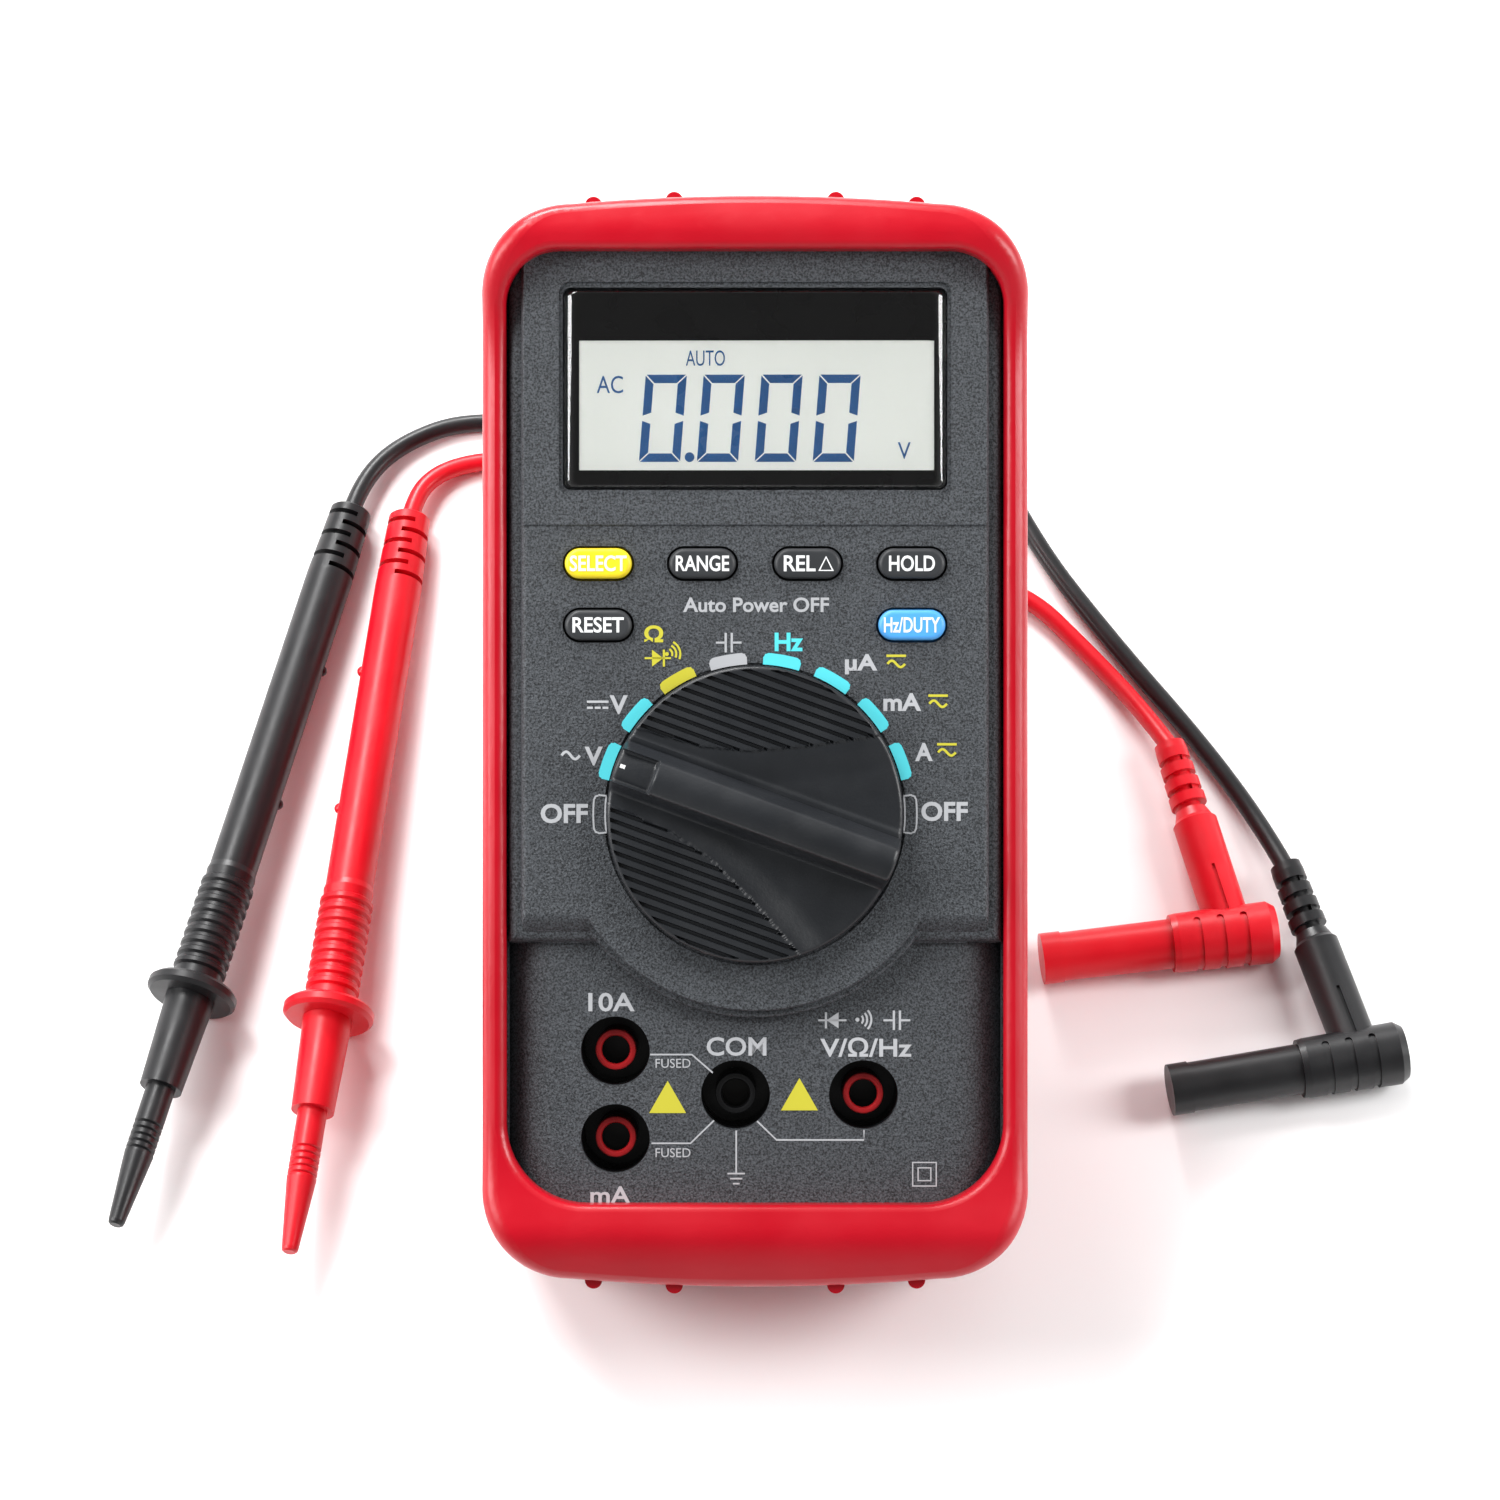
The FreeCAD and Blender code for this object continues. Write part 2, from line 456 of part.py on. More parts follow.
def make_keys():
    for name, (x, y) in BUTTONS.items():
        cap = stadium(x, y, KEY_L, KEY_W, UPPER_CEIL - 1.2, UPPER_Z + KEY_PROUD)
        cap = cap.makeFillet(0.7, edges_where(cap, lambda b: b.ZMin > UPPER_Z + KEY_PROUD - 0.01))
        flange = stadium(x, y, KEY_L + 2.2, KEY_W + 2.2, UPPER_CEIL - 1.2, UPPER_CEIL - 0.1)
        save(name, on_bench(cap.fuse(flange).removeSplitter()))
    mat = rounded(-27, 27, 12.6, 31.4, PCB_TOP, PCB_TOP + 0.9, 2.0)
    for x, y in BUTTONS.values():
        dome_h = UPPER_CEIL - 1.2 - KEY_TRAVEL - 0.15 - PCB_TOP
        dome = Part.makeCone(2.9, 2.1, dome_h, V(x, y, PCB_TOP), V(0, 0, 1))
        mat = mat.fuse(dome)
    save("keypad_mat", on_bench(mat.removeSplitter()))


# ---------------------------------------------------------------- selector
def make_knob():
    disc = cyl(0, KNOB_Y, UPPER_Z - KNOB_SINK + 0.1, KNOB_TOP, KNOB_R)
    disc = disc.makeFillet(0.8, edges_where(disc, lambda b: b.ZMin > KNOB_TOP - 0.01))
    bar = extrude([(-KNOB_R + 0.8, -BAR_BASE / 2), (KNOB_R - 0.8, -BAR_BASE / 2),
                   (KNOB_R - 0.8, BAR_BASE / 2), (-KNOB_R + 0.8, BAR_BASE / 2)], KNOB_TOP - 1, BAR_TOP)
    long_edges = edges_where(bar, lambda b: b.ZMin > BAR_TOP - 0.01 and b.XLength > 20)
    bar = bar.makeFillet(BAR_ROUND, long_edges)
    bar = bar.common(cyl(0, 0, 0, 60, KNOB_R - 0.5))
    ends = edges_where(bar, lambda b: b.ZMin > BAR_TOP - 3 and b.XLength < 6 and b.YLength > 3)
    notch = box(-KNOB_R - 1, -KNOB_R + 4.2, -1.6, 1.6, BAR_TOP - 1.6, BAR_TOP + 1)
    bar = bar.makeFillet(1.2, ends).cut(notch)
    region = [(-20.9, 6.0), (-10.7, 6.8), (-3.85, 8.6), (4.2, 12.3), (12.5, 16.9),
              (12.5, 30), (-30, 30), (-30, 6.0)]
    upper = extrude(region, KNOB_TOP - GROOVE_DEEP, KNOB_TOP + 1)
    mirrored = [(x, -y) for x, y in region[::-1]]
    lower = extrude(mirrored, KNOB_TOP - GROOVE_DEEP, KNOB_TOP + 1)
    inside = cyl(0, 0, 0, 60, KNOB_R - 1.2)
    grooves = []
    for k in range(GROOVES):
        v = GROOVE_START + k * GROOVE_PITCH
        for side in (-1, 1):
            cutter = box(-KNOB_R, KNOB_R, side * v - GROOVE_W / 2, side * v + GROOVE_W / 2, 0, 60)
            grooves.append(cutter.common(upper if side > 0 else lower).common(inside))
    turned = bar.cut(Part.makeCompound(grooves))
    turned.rotate(V(0, 0, 0), V(0, 0, 1), POINTER_DEG - 180.0)
    turned.translate(V(0, KNOB_Y, 0))
    cuts = Part.makeCompound(grooves)
    cuts.rotate(V(0, 0, 0), V(0, 0, 1), POINTER_DEG - 180.0)
    cuts.translate(V(0, KNOB_Y, 0))
    knob = disc.cut(cuts).fuse(turned)
    knob = knob.fuse(cyl(0, KNOB_Y, PCB_TOP + 1.0, UPPER_Z, SHAFT_R))
    return knob.removeSplitter()


def make_selector():
    save("selector_knob", on_bench(make_knob()))
    z0 = PCB_TOP + 1.0
    carrier = cyl(0, KNOB_Y, z0, z0 + 2.0, 19.0).cut(cyl(0, KNOB_Y, 0, 60, SHAFT_R))
    save("rotor_carrier", on_bench(carrier))
    spring = cyl(0, KNOB_Y, z0 + 2.0, z0 + 2.4, 16.0).cut(cyl(0, KNOB_Y, 0, 60, 12.0))
    for a in (0.0, math.pi):
        bump = cyl(14 * math.cos(a), KNOB_Y + 14 * math.sin(a), z0 + 2.2, UPPER_CEIL - 0.15, 1.0)
        spring = spring.fuse(bump)
    save("detent_spring", on_bench(spring.removeSplitter()))
    wipers = []
    for k in range(WIPERS):
        strip = box(8.0, 16.5, -0.6, 0.6, z0 - 0.35, z0)
        strip = strip.fuse(box(14.2, 16.0, -0.6, 0.6, PCB_TOP + 0.1, z0 - 0.2))
        strip.rotate(V(0, 0, 0), V(0, 0, 1), k * 360.0 / WIPERS)
        strip.translate(V(0, KNOB_Y, 0))
        wipers.append(strip.removeSplitter())
    save("wiper_contacts", on_bench(Part.makeCompound(wipers)))


# ---------------------------------------------------------------- jacks
def make_jacks():
    wells, red, sleeves, tabs = [], [], [], []
    for name, (x, y) in JACKS.items():
        well = cyl(x, y, WELL_Z - 1.5, LOWER_CEIL - 0.05, WELL_R + 1.1).cut(cyl(x, y, WELL_Z, 60, WELL_R))
        wells.append(well.cut(cyl(x, y, 0, 60, SLEEVE_R)))
        post = cyl(x, y, WELL_Z, LOWER_Z - POST_SINK, POST_R).cut(cyl(x, y, 0, 60, SLEEVE_R))
        if name == "com":
            save("jack_post_black", on_bench(post))
        else:
            red.append(post)
        top = LOWER_Z - POST_SINK - 1
        sleeves.append(cyl(x, y, WELL_Z - 2.7, top, SLEEVE_R).cut(cyl(x, y, WELL_Z - 1.7, 60, BORE_R)))
        if name == "milliamp":     # its tab turns up to the right, the others turn up above their jack
            tab = box(x - 1.5, x + 9.1, y - 1.5, y + 1.5, *TAB_Z)
            tab = tab.fuse(box(x + 8.3, x + 9.1, y - 1.5, y + 1.5, TAB_Z[0], PCB_Z))
        else:
            tab = box(x - 1.5, x + 1.5, y - 1.5, y + 7.9, *TAB_Z)
            tab = tab.fuse(box(x - 1.5, x + 1.5, y + 7.1, y + 7.9, TAB_Z[0], PCB_Z))
        tabs.append(tab.removeSplitter())
    save("jack_wells", on_bench(Part.makeCompound(wells)))
    save("jack_posts_red", on_bench(Part.makeCompound(red)))
    save("jack_sleeves", on_bench(Part.makeCompound(sleeves)))
    save("jack_tabs", on_bench(Part.makeCompound(tabs)))


# ---------------------------------------------------------------- board, fuses, battery
def fuse_link(y, z, length, r):
    body = cyl_x(y, z, -length / 2, length / 2, r - 0.25)
    for side in (-1, 1):
        end = side * length / 2
        body = body.fuse(cyl_x(y, z, min(end, end - side * 6), max(end, end - side * 6), r))
    return body.removeSplitter()


def fuse_clip(x, y, z, r):
    clip = box(x - 2, x + 2, y - r - 0.6, y + r + 0.6, z - 1.5, PCB_Z)
    clip = clip.cut(cyl_x(y, z, x - 3, x + 3, r + 0.02))
    return clip.cut(box(x - 3, x + 3, y - r * 0.8, y + r * 0.8, z - 3, z))


def make_board():
    board = box(-32.0, 32.0, SHOULDER_Y + 3, PANEL_TOP_Y - 2.7, PCB_Z, PCB_TOP)
    board = board.fuse(box(-28.5, 28.5, LOWER_Y[0] + 2.6, SHOULDER_Y + 4, PCB_Z, PCB_TOP))
    for x, y in JACKS.values():
        board = board.cut(cyl(x, y, 0, 60, WELL_R + 1.3))
    for x, y in PCB_SCREWS:
        board = board.cut(cyl(x, y, 0, 60, PILOT_R))
    for x, y in CASE_SCREWS:
        board = board.cut(cyl(x, y, 0, 60, 3.7))
    save("main_pcb", on_bench(board.removeSplitter()))
    screws = []
    for x, y in PCB_SCREWS:
        tip = LOWER_CEIL if y < SHOULDER_Y else UPPER_CEIL - 0.5
        screws.append(screw(x, y, PCB_Z - 1.6, 2.4, 1.6, 1.2, tip))
    save("pcb_screws", on_bench(Part.makeCompound(screws)))
    clips = []
    for name, y, r, length, clip_x in zip(("fuse_10a", "fuse_500ma"), FUSE_Y, FUSE_R, FUSE_L, CLIP_X):
        z = PCB_Z - 1.0 - r
        save(name, on_bench(fuse_link(y, z, length, r)))
        clips += [fuse_clip(side * clip_x, y, z, r) for side in (-1, 1)]
    save("fuse_clips", on_bench(Part.makeCompound(clips)))
    shunt = tube([(-24, -31, PCB_Z), (-24, -31, PCB_Z - 5), (-9, -31, PCB_Z - 5), (-9, -31, PCB_Z)], 0.9)
    save("current_shunt", on_bench(shunt))
    save("buzzer", on_bench(cyl(19, -24, PCB_Z - 3.2, PCB_Z, 7.0).cut(cyl(19, -24, 0, PCB_Z - 2.6, 1.5))))
    chip = box(-7, 7, -21, -7, PCB_Z - 1.8, PCB_Z - 0.3)
    for k in range(10):
        for side in (-1, 1):
            u = -5.6 + k * 1.25
            v = side * 7.5
            chip = chip.fuse(box(u - 0.25, u + 0.25, v - 14.6, v - 13.4, PCB_Z - 1.0, PCB_Z))
            chip = chip.fuse(box(v - 0.6, v + 0.6, u - 14.25, u - 13.75, PCB_Z - 1.0, PCB_Z))
    save("meter_chip", on_bench(chip.removeSplitter()))
    parts = [cyl(4, -38, PCB_Z - 7, PCB_Z, 3.2), cyl(22, -40, PCB_Z - 2.5, PCB_Z, 3.8),
             cyl_x(-28, PCB_Z - 1.6, 4, 11, 1.5), cyl_x(-33, PCB_Z - 1.6, 4, 11, 1.5)]
    save("input_parts", on_bench(Part.makeCompound(parts)))
    cell = rounded(*BATTERY_X, BATTERY_Y - BATTERY_HALF_W, BATTERY_Y + BATTERY_HALF_W,
                   FLOOR_Z + 0.1, FLOOR_Z + 0.1 + BATTERY_T, 2.5)
    for dy in (-SNAP_DY, SNAP_DY):
        cell = cell.fuse(cyl_x(BATTERY_Y + dy, FLOOR_Z + 8.8, 22.0, 24.2, 2.9))
    save("battery_9v", on_bench(cell.removeSplitter()))
    plates = []
    for dy in (-SNAP_DY, SNAP_DY):
        y = BATTERY_Y + dy
        plate = box(24.2, 24.8, y - 3, y + 3, FLOOR_Z + 4.5, PCB_Z)
        plates.append(plate.fuse(box(24.2, 27.5, y - 3, y + 3, PCB_Z - 0.5, PCB_Z)).removeSplitter())
    save("battery_contacts", on_bench(Part.makeCompound(plates)))


# ---------------------------------------------------------------- test leads
def tube(points, r):
    """Round rod along straight runs joined by tangent arcs."""
    pts = [V(*p) for p in points]
    edges, start = [], pts[0]
    for i in range(1, len(pts) - 1):
        a, b = pts[i] - pts[i - 1], pts[i + 1] - pts[i]
        la, lb = a.Length, b.Length
        a.normalize()
        b.normalize()
        half = math.acos(max(-1.0, min(1.0, a.dot(b)))) / 2.0
        cut = BEND_SHARE * min(la, lb)
        radius = cut / math.tan(half)
        t1, t2 = pts[i] - a * cut, pts[i] + b * cut
        inward = b - a
        inward.normalize()
        middle = pts[i] + inward * (radius / math.cos(half) - radius)
        edges.append(Part.makeLine(start, t1))
        edges.append(Part.Arc(t1, middle, t2).toShape())
        start = t2
        print("   bend %d: turn %.1f deg, radius %.1f" % (i, math.degrees(2 * half), radius))
    edges.append(Part.makeLine(start, pts[-1]))
    path = Part.Wire(edges)
    section = Part.Wire([Part.makeCircle(r, pts[0], pts[1] - pts[0])])
    rod = path.makePipeShell([section], True, True)
    share = rod.Volume / (math.pi * r * r * path.Length)
    print("   tube length %.1f, volume ratio %.3f" % (path.Length, share))
    return rod


def lathe(profile, bore=None):
    """Solid of revolution about +Z on (r, z) points; a bore is (r, z0, z1)."""
    outline = [V(0, 0, profile[0][1])] + [V(r, 0, z) for r, z in profile] + [V(0, 0, profile[-1][1])]
    solid = Part.Face(Part.makePolygon(outline + outline[:1])).revolve(V(0, 0, 0), V(0, 0, 1), 360)
    if bore:
        solid = solid.cut(cyl(0, 0, bore[1], bore[2], bore[0]))
    return solid


def side_slots(shape, first, pitch, count, width, core_r):
    """Cuts slots into a strain relief along +Z, from its right and left sides in turn."""
    for k in range(count):
        z = first + k * pitch
        ring = cyl(0, 0, z, z + width, 9).cut(cyl(0, 0, z - 1, z + width + 1, core_r))
        side = 1 if k % 2 == 0 else -1
        half = box(min(-side, 9 * side), max(-side, 9 * side), -9, 9, z - 1, z + width + 1)
        shape = shape.cut(ring.common(half))
    return shape


def lay_probe(shape, tip, rear):
    """Turns a piece built with its tip at the origin and +Z rearwards onto the bench."""
    s = shape.copy()
    way = V(*rear) - V(*tip)
    way.normalize()
    turn = FreeCAD.Rotation(V(0, 0, 1), way)
    s.Placement = FreeCAD.Placement(V(*tip), turn)
    return s


def make_probe(colour, tip_xy, rear_xy):
    length = PROBE_L
    rise = (GUARD_R - BOOT_END_R) / (length - PROBE_GUARD)
    tip = (tip_xy[0], tip_xy[1], GUARD_R + 0.05 + rise * PROBE_GUARD)
    flat = math.hypot(rear_xy[0] - tip[0], rear_xy[1] - tip[1])
    rear = (rear_xy[0], rear_xy[1], tip[2] - rise * flat)
    profile = [(3.35, CAP_L), (3.9, PROBE_GUARD - 1.2), (GUARD_R - 0.6, PROBE_GUARD - 1.2),
               (GUARD_R, PROBE_GUARD - 0.6), (GUARD_R, PROBE_GUARD + 0.4),
               (GUARD_R - 0.6, PROBE_GUARD + 1.0), (3.9, PROBE_GUARD + 1.0)]
    for k in range(GRIP_RINGS):
        z = PROBE_GUARD + 3.4 + k * GRIP_PITCH
        profile += [(3.8, z), (4.25, z + 0.35), (4.25, z + 1.0), (3.8, z + 1.35)]
    profile += [(4.0, PROBE_GUARD + 21.0), (3.8, PROBE_GUARD + 22.0), (3.8, BOOT_START),
                (BOOT_END_R, length - 0.3), (BOOT_END_R - 0.3, length)]
    body = lathe(profile, bore=(TIP_R, CAP_L - 1, CAP_L + 8))
    body = side_slots(body, BOOT_START + 0.6, BOOT_PITCH, BOOT_SLOTS, SLOT_W, 2.2)
    side = 1 if colour == "black" else -1
    for z in NUBS_AT:
        body = body.fuse(Part.makeSphere(0.9, V(side * 3.5, 0, z)))
    save("%s_probe_body" % colour, lay_probe(body, tip, rear))
    pin = lathe([(0.3, 3.0), (TIP_R, 6.0), (TIP_R, CAP_L + 8)])
    save("%s_probe_tip" % colour, lay_probe(pin, tip, rear))
    cap = [(0.9, 0.0), (1.2, 0.25), (1.32, 0.7), (2.3, CAP_CONE)]
    for k in range(CAP_RINGS):
        z = CAP_CONE + 0.4 + k * 1.1
        cap += [(2.3, z), (2.05, z + 0.25), (2.3, z + 0.5)]
    cap += [(2.3, CAP_L)]
    save("%s_tip_cap" % colour, lay_probe(lathe(cap, bore=(TIP_R + RUN_GAP, 2.4, CAP_L + 1)), tip, rear))
    print("   %s probe axis" % colour, [round(c, 4) for c in (V(*tip) - V(*rear)).normalize()],
          "tip", [round(c, 2) for c in tip], "rear", [round(c, 2) for c in rear])


def make_plug(colour, mouth, angle):
    """Right-angle shrouded plug lying on the bench, mouth to the left."""
    def along_x(shape):
        s = shape.copy()
        s.rotate(V(0, 0, 0), V(0, 1, 0), 90)
        return s

    def lay(shape):
        s = shape.copy()
        s.rotate(V(0, 0, 0), V(0, 0, 1), angle)
        s.translate(V(mouth[0], mouth[1], PLUG_BIG_R + 0.05))
        return s

    body = lathe([(SHROUD_R, PLUG_CAP), (SHROUD_R + 0.1, PLUG_SHOULDER), (4.55, PLUG_SHOULDER),
                  (4.7, PLUG_SHOULDER + 1), (PLUG_BIG_R, PLUG_L - 1.2), (PLUG_BIG_R - 0.8, PLUG_L)])
    body = body.cut(cyl(0, 0, 0, PLUG_SHOULDER, SHROUD_IN_R))
    body = body.cut(cyl(0, 0, 0, PLUG_SHOULDER + 6, PLUG_PIN_R))
    body = along_x(body)
    arm_profile = [(ARM_R, 0), (ARM_R, ARM_BOOT), (ARM_R - 0.5, ARM_BOOT + 0.6)]
    for k in range(PLUG_RINGS):
        z = ARM_BOOT + 2.2 + k * PLUG_RING_PITCH
        r = 2.95 - 0.12 * k
        arm_profile += [(r - 0.45, z), (r - 0.45, z + 0.9), (r, z + 0.9), (r, z + 2.65)]
    arm_profile += [(PLUG_BOOT_R, ARM_L)]
    arm = side_slots(lathe(arm_profile), ARM_BOOT + 2.2, PLUG_RING_PITCH, PLUG_RINGS, 1.0, 1.8)
    arm = arm.cut(box(-0.25, 0.25, -9, -3.15, 3.0, 11.5))
    arm.rotate(V(0, 0, 0), V(1, 0, 0), -90)
    arm.rotate(V(0, 0, 0), V(0, 0, 1), ARM_LEAN)
    arm.translate(V(ARM_AT, 0, 0))
    body = body.fuse(arm.cut(along_x(cyl(0, 0, 0, PLUG_L, 4.0))))
    for x in THUMB_SLOTS:
        half = THUMB_SLOT_W / 2
        slot = box(x - half, x + half, -9, 1.8, -9, 9).fuse(cyl(x, 1.8, -9, 9, half))
        body = body.cut(slot.cut(along_x(cyl(0, 0, x - 2, x + 2, PLUG_BIG_R - 0.1 - THUMB_SLOT_DEEP))))
    body = body.removeSplitter()
    save("%s_plug_body" % colour, lay(body))
    pin = along_x(lathe([(1.2, 2.0), (PLUG_PIN_R, 3.4), (PLUG_PIN_R, PLUG_SHOULDER + 6)]))
    save("%s_plug_pin" % colour, lay(pin))
    cap = cyl(0, 0, 0, PLUG_CAP - 0.02, PLUG_CAP_R).fuse(cyl(0, 0, 0, PLUG_CAP + 9, SHROUD_IN_R - RUN_GAP))
    cap = cap.removeSplitter().cut(cyl(0, 0, 1.6, 60, PLUG_PIN_R + RUN_GAP))
    save("%s_plug_cap" % colour, lay(along_x(cap)))


def make_coil(name, x, y, mid_r):
    r_in, r_out = mid_r - CORD_D, mid_r + CORD_D
    ring = cyl(x, y, 0.05, 0.05 + COIL_LAYERS * CORD_D, r_out).cut(cyl(x, y, -1, 60, r_in))
    ring = ring.makeFillet(1.3, ring.Edges)
    save(name, ring)


# ---------------------------------------------------------------- build everything
def main():
    save("holster", on_bench(make_holster()))
    save("tilt_stand", on_bench(make_stand()))
    save("stand_pin", on_bench(cyl_x(HINGE_Y, HINGE_Z, -PIN_HALF, PIN_HALF, PIN_R)))
    save("front_case", on_bench(make_front_case()))
    save("rear_case", on_bench(make_rear_case()))
    save("battery_door", on_bench(make_battery_door()))
    save("door_screw", on_bench(screw(*DOOR_SCREW, BOOT_BACK + 0.05, 1.2, DOOR_T - 0.1, 1.2, FLOOR_Z + 5.5)))
    case_screws = [screw(x, y, BOOT_BACK + 2.4, 2.7, 1.6, 1.4, PCB_Z - 2) for x, y in CASE_SCREWS]
    save("case_screws", on_bench(Part.makeCompound(case_screws)))
    make_display()
    make_keys()
    make_selector()
    make_jacks()
    make_board()
    make_probe("black", BLACK_TIP, BLACK_REAR)
    make_probe("red", RED_TIP, RED_REAR)
    make_plug("black", BLACK_MOUTH, BLACK_PLUG_DEG)
    make_plug("red", RED_MOUTH, RED_PLUG_DEG)
    make_coil("black_cord_coil", *BLACK_COIL)
    make_coil("red_cord_coil", *RED_COIL)
    for name, route in ROUTES.items():
        print(name)
        save(name, tube(route, CORD_D / 2))


main()
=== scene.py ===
"""Looks of a handheld digital multimeter leaning on its tilt stand, with two test leads."""
import bmesh
import bpy
import json
import math
from mathutils import Matrix, Vector


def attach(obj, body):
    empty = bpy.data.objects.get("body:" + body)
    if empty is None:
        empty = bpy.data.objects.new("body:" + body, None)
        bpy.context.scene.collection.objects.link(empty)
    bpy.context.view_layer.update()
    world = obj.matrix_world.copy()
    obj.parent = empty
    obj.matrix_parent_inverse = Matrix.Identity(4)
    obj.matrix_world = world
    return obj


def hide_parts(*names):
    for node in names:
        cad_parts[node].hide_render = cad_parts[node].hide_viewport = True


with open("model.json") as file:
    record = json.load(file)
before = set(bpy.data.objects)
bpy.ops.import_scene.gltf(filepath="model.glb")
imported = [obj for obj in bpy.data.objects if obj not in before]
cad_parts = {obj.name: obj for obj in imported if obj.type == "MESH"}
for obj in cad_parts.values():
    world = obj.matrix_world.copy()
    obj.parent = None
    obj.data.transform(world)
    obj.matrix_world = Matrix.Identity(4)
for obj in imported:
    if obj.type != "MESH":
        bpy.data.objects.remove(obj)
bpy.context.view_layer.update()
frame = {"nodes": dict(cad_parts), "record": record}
nodes = frame["nodes"]
MM = 0.001

# ------------------------------------------------------------------ the meter's own frame
# The meter is drawn flat in millimetres: x across the face, y up the face, z out of it.
# FACE takes such a point to the bench frame, in metres.
TILT = math.radians(25.0)
SHIFT_Y = 7.9
BACK_EDGE_R, HALF_LENGTH = 3.0, 80.8      # of the boot, which stands on its lower back edge
LIFT = BACK_EDGE_R + (HALF_LENGTH - BACK_EDGE_R) * math.sin(TILT) - BACK_EDGE_R * math.cos(TILT)
FACE = Matrix.Scale(MM, 4) @ Matrix.Translation((0.0, SHIFT_Y, LIFT)) @ Matrix.Rotation(TILT, 4, "X")
UPPER_Z, LOWER_Z, KEY_Z, LCD_Z = 36.0, 32.5, 37.1, 33.9
KNOB_X, KNOB_Y = 0.0, -10.6

# ------------------------------------------------------------------ camera
CAMERA_AT = (-0.75, -1.1, 800.0)          # square to the face
CAMERA_LENS = 123.8382
camera = bpy.data.objects.new("camera", bpy.data.cameras.new("camera"))
bpy.context.scene.collection.objects.link(camera)
camera.matrix_world = Matrix.Translation(FACE @ Vector(CAMERA_AT)) @ Matrix.Rotation(TILT, 4, "X")
camera.data.sensor_width = 36.0
camera.data.lens = CAMERA_LENS
camera.data.clip_start = 0.05
bpy.context.scene.camera = camera
bpy.context.scene.view_settings.view_transform = "Standard"


# ------------------------------------------------------------------ materials
class Nodes:
    """Short hand for building a node material."""

    def __init__(self, name, color, rough=0.5, **sockets):
        self.mat = bpy.data.materials.new(name)
        self.mat.use_nodes = True
        self.tree = self.mat.node_tree
        self.bsdf = self.tree.nodes["Principled BSDF"]
        self.bsdf.inputs["Base Color"].default_value = (*color, 1.0)
        self.bsdf.inputs["Roughness"].default_value = rough
        for key, value in sockets.items():
            self.bsdf.inputs[key.replace("_", " ")].default_value = value
        self.mat.diffuse_color = (*color, 1.0)
        self.coords = self.add("ShaderNodeTexCoord")

    def add(self, kind, **values):
        node = self.tree.nodes.new(kind)
        for key, value in values.items():
            if hasattr(node, key):
                setattr(node, key, value)
            else:
                node.inputs[key.replace("_", " ")].default_value = value
        return node

    def link(self, a, out, b, inp):
        self.tree.links.new(a.outputs[out], b.inputs[inp])

    def noise(self, scale, detail=3.0, rough=0.55, stretch=None):
        tex = self.add("ShaderNodeTexNoise", Scale=scale, Detail=detail, Roughness=rough)
        if stretch:
            mapping = self.add("ShaderNodeMapping")
            mapping.inputs["Scale"].default_value = stretch
            self.link(self.coords, "Object", mapping, "Vector")
            self.link(mapping, "Vector", tex, "Vector")
        else:
            self.link(self.coords, "Object", tex, "Vector")
        return tex

    def bump(self, tex, out, strength, distance):
        last = self.bsdf.inputs["Normal"].links
        node = self.add("ShaderNodeBump", Strength=strength, Distance=distance)
        self.link(tex, out, node, "Height")
        if last:
            self.tree.links.new(last[0].from_socket, node.inputs["Normal"])
        self.link(node, "Normal", self.bsdf, "Normal")
        return self

    def vary(self, tex, out, socket, low, high, from_low=0.35, from_high=0.65):
        """Drives a socket between two values, or two colours, by a texture."""
        if isinstance(low, tuple):
            ramp = self.add("ShaderNodeValToRGB")
            ramp.color_ramp.elements[0].position = from_low
            ramp.color_ramp.elements[1].position = from_high
            ramp.color_ramp.elements[0].color = (*low, 1.0)
            ramp.color_ramp.elements[1].color = (*high, 1.0)
            self.link(tex, out, ramp, "Fac")
            self.link(ramp, "Color", self.bsdf, socket)
        else:
            ramp = self.add("ShaderNodeMapRange")
            limits = {"From Min": from_low, "From Max": from_high, "To Min": low, "To Max": high}
            for key, value in limits.items():
                ramp.inputs[key].default_value = value
            self.link(tex, out, ramp, "Value")
            self.link(ramp, "Result", self.bsdf, socket)
        return self


def plastic(name, color, rough, grain=900.0, depth=0.00006, strength=0.4, spread=0.12, **sockets):
    """Moulded plastic with a spark-eroded grain and slight unevenness of colour and gloss."""
    m = Nodes(name, color, rough, **sockets)
    dark = tuple(c * (1.0 - spread) for c in color)
    light = tuple(min(1.0, c * (1.0 + spread)) for c in color)
    m.vary(m.noise(28.0, 4.0), "Fac", "Base Color", dark, light)
    m.vary(m.noise(160.0, 2.0), "Fac", "Roughness", rough - 0.05, rough + 0.06)
    m.bump(m.noise(grain, 2.0, 0.6), "Fac", strength, depth)
    return m.mat


def metal(name, color, rough, stretch=None):
    m = Nodes(name, color, rough, Metallic=1.0)
    m.vary(m.noise(60.0, 3.0), "Fac", "Roughness", rough - 0.06, rough + 0.08)
    m.bump(m.noise(700.0, 2.0, stretch=stretch), "Fac", 0.15, 0.00002)
    return m.mat


def speckled_case():
    """Dark grey case plastic with a fine even spark texture."""
    m = Nodes("case_plastic", (0.055, 0.058, 0.064), 0.5, Specular_IOR_Level=0.35)
    dark, light = (0.011, 0.0125, 0.0145), (0.080, 0.088, 0.098)
    m.vary(m.noise(3300.0, 2.0, 0.65), "Fac", "Base Color", dark, light, 0.37, 0.63)
    m.vary(m.noise(40.0, 3.0), "Fac", "Roughness", 0.44, 0.56)
    m.bump(m.noise(2000.0, 3.0, 0.75), "Fac", 1.0, 0.00022)
    return m.mat


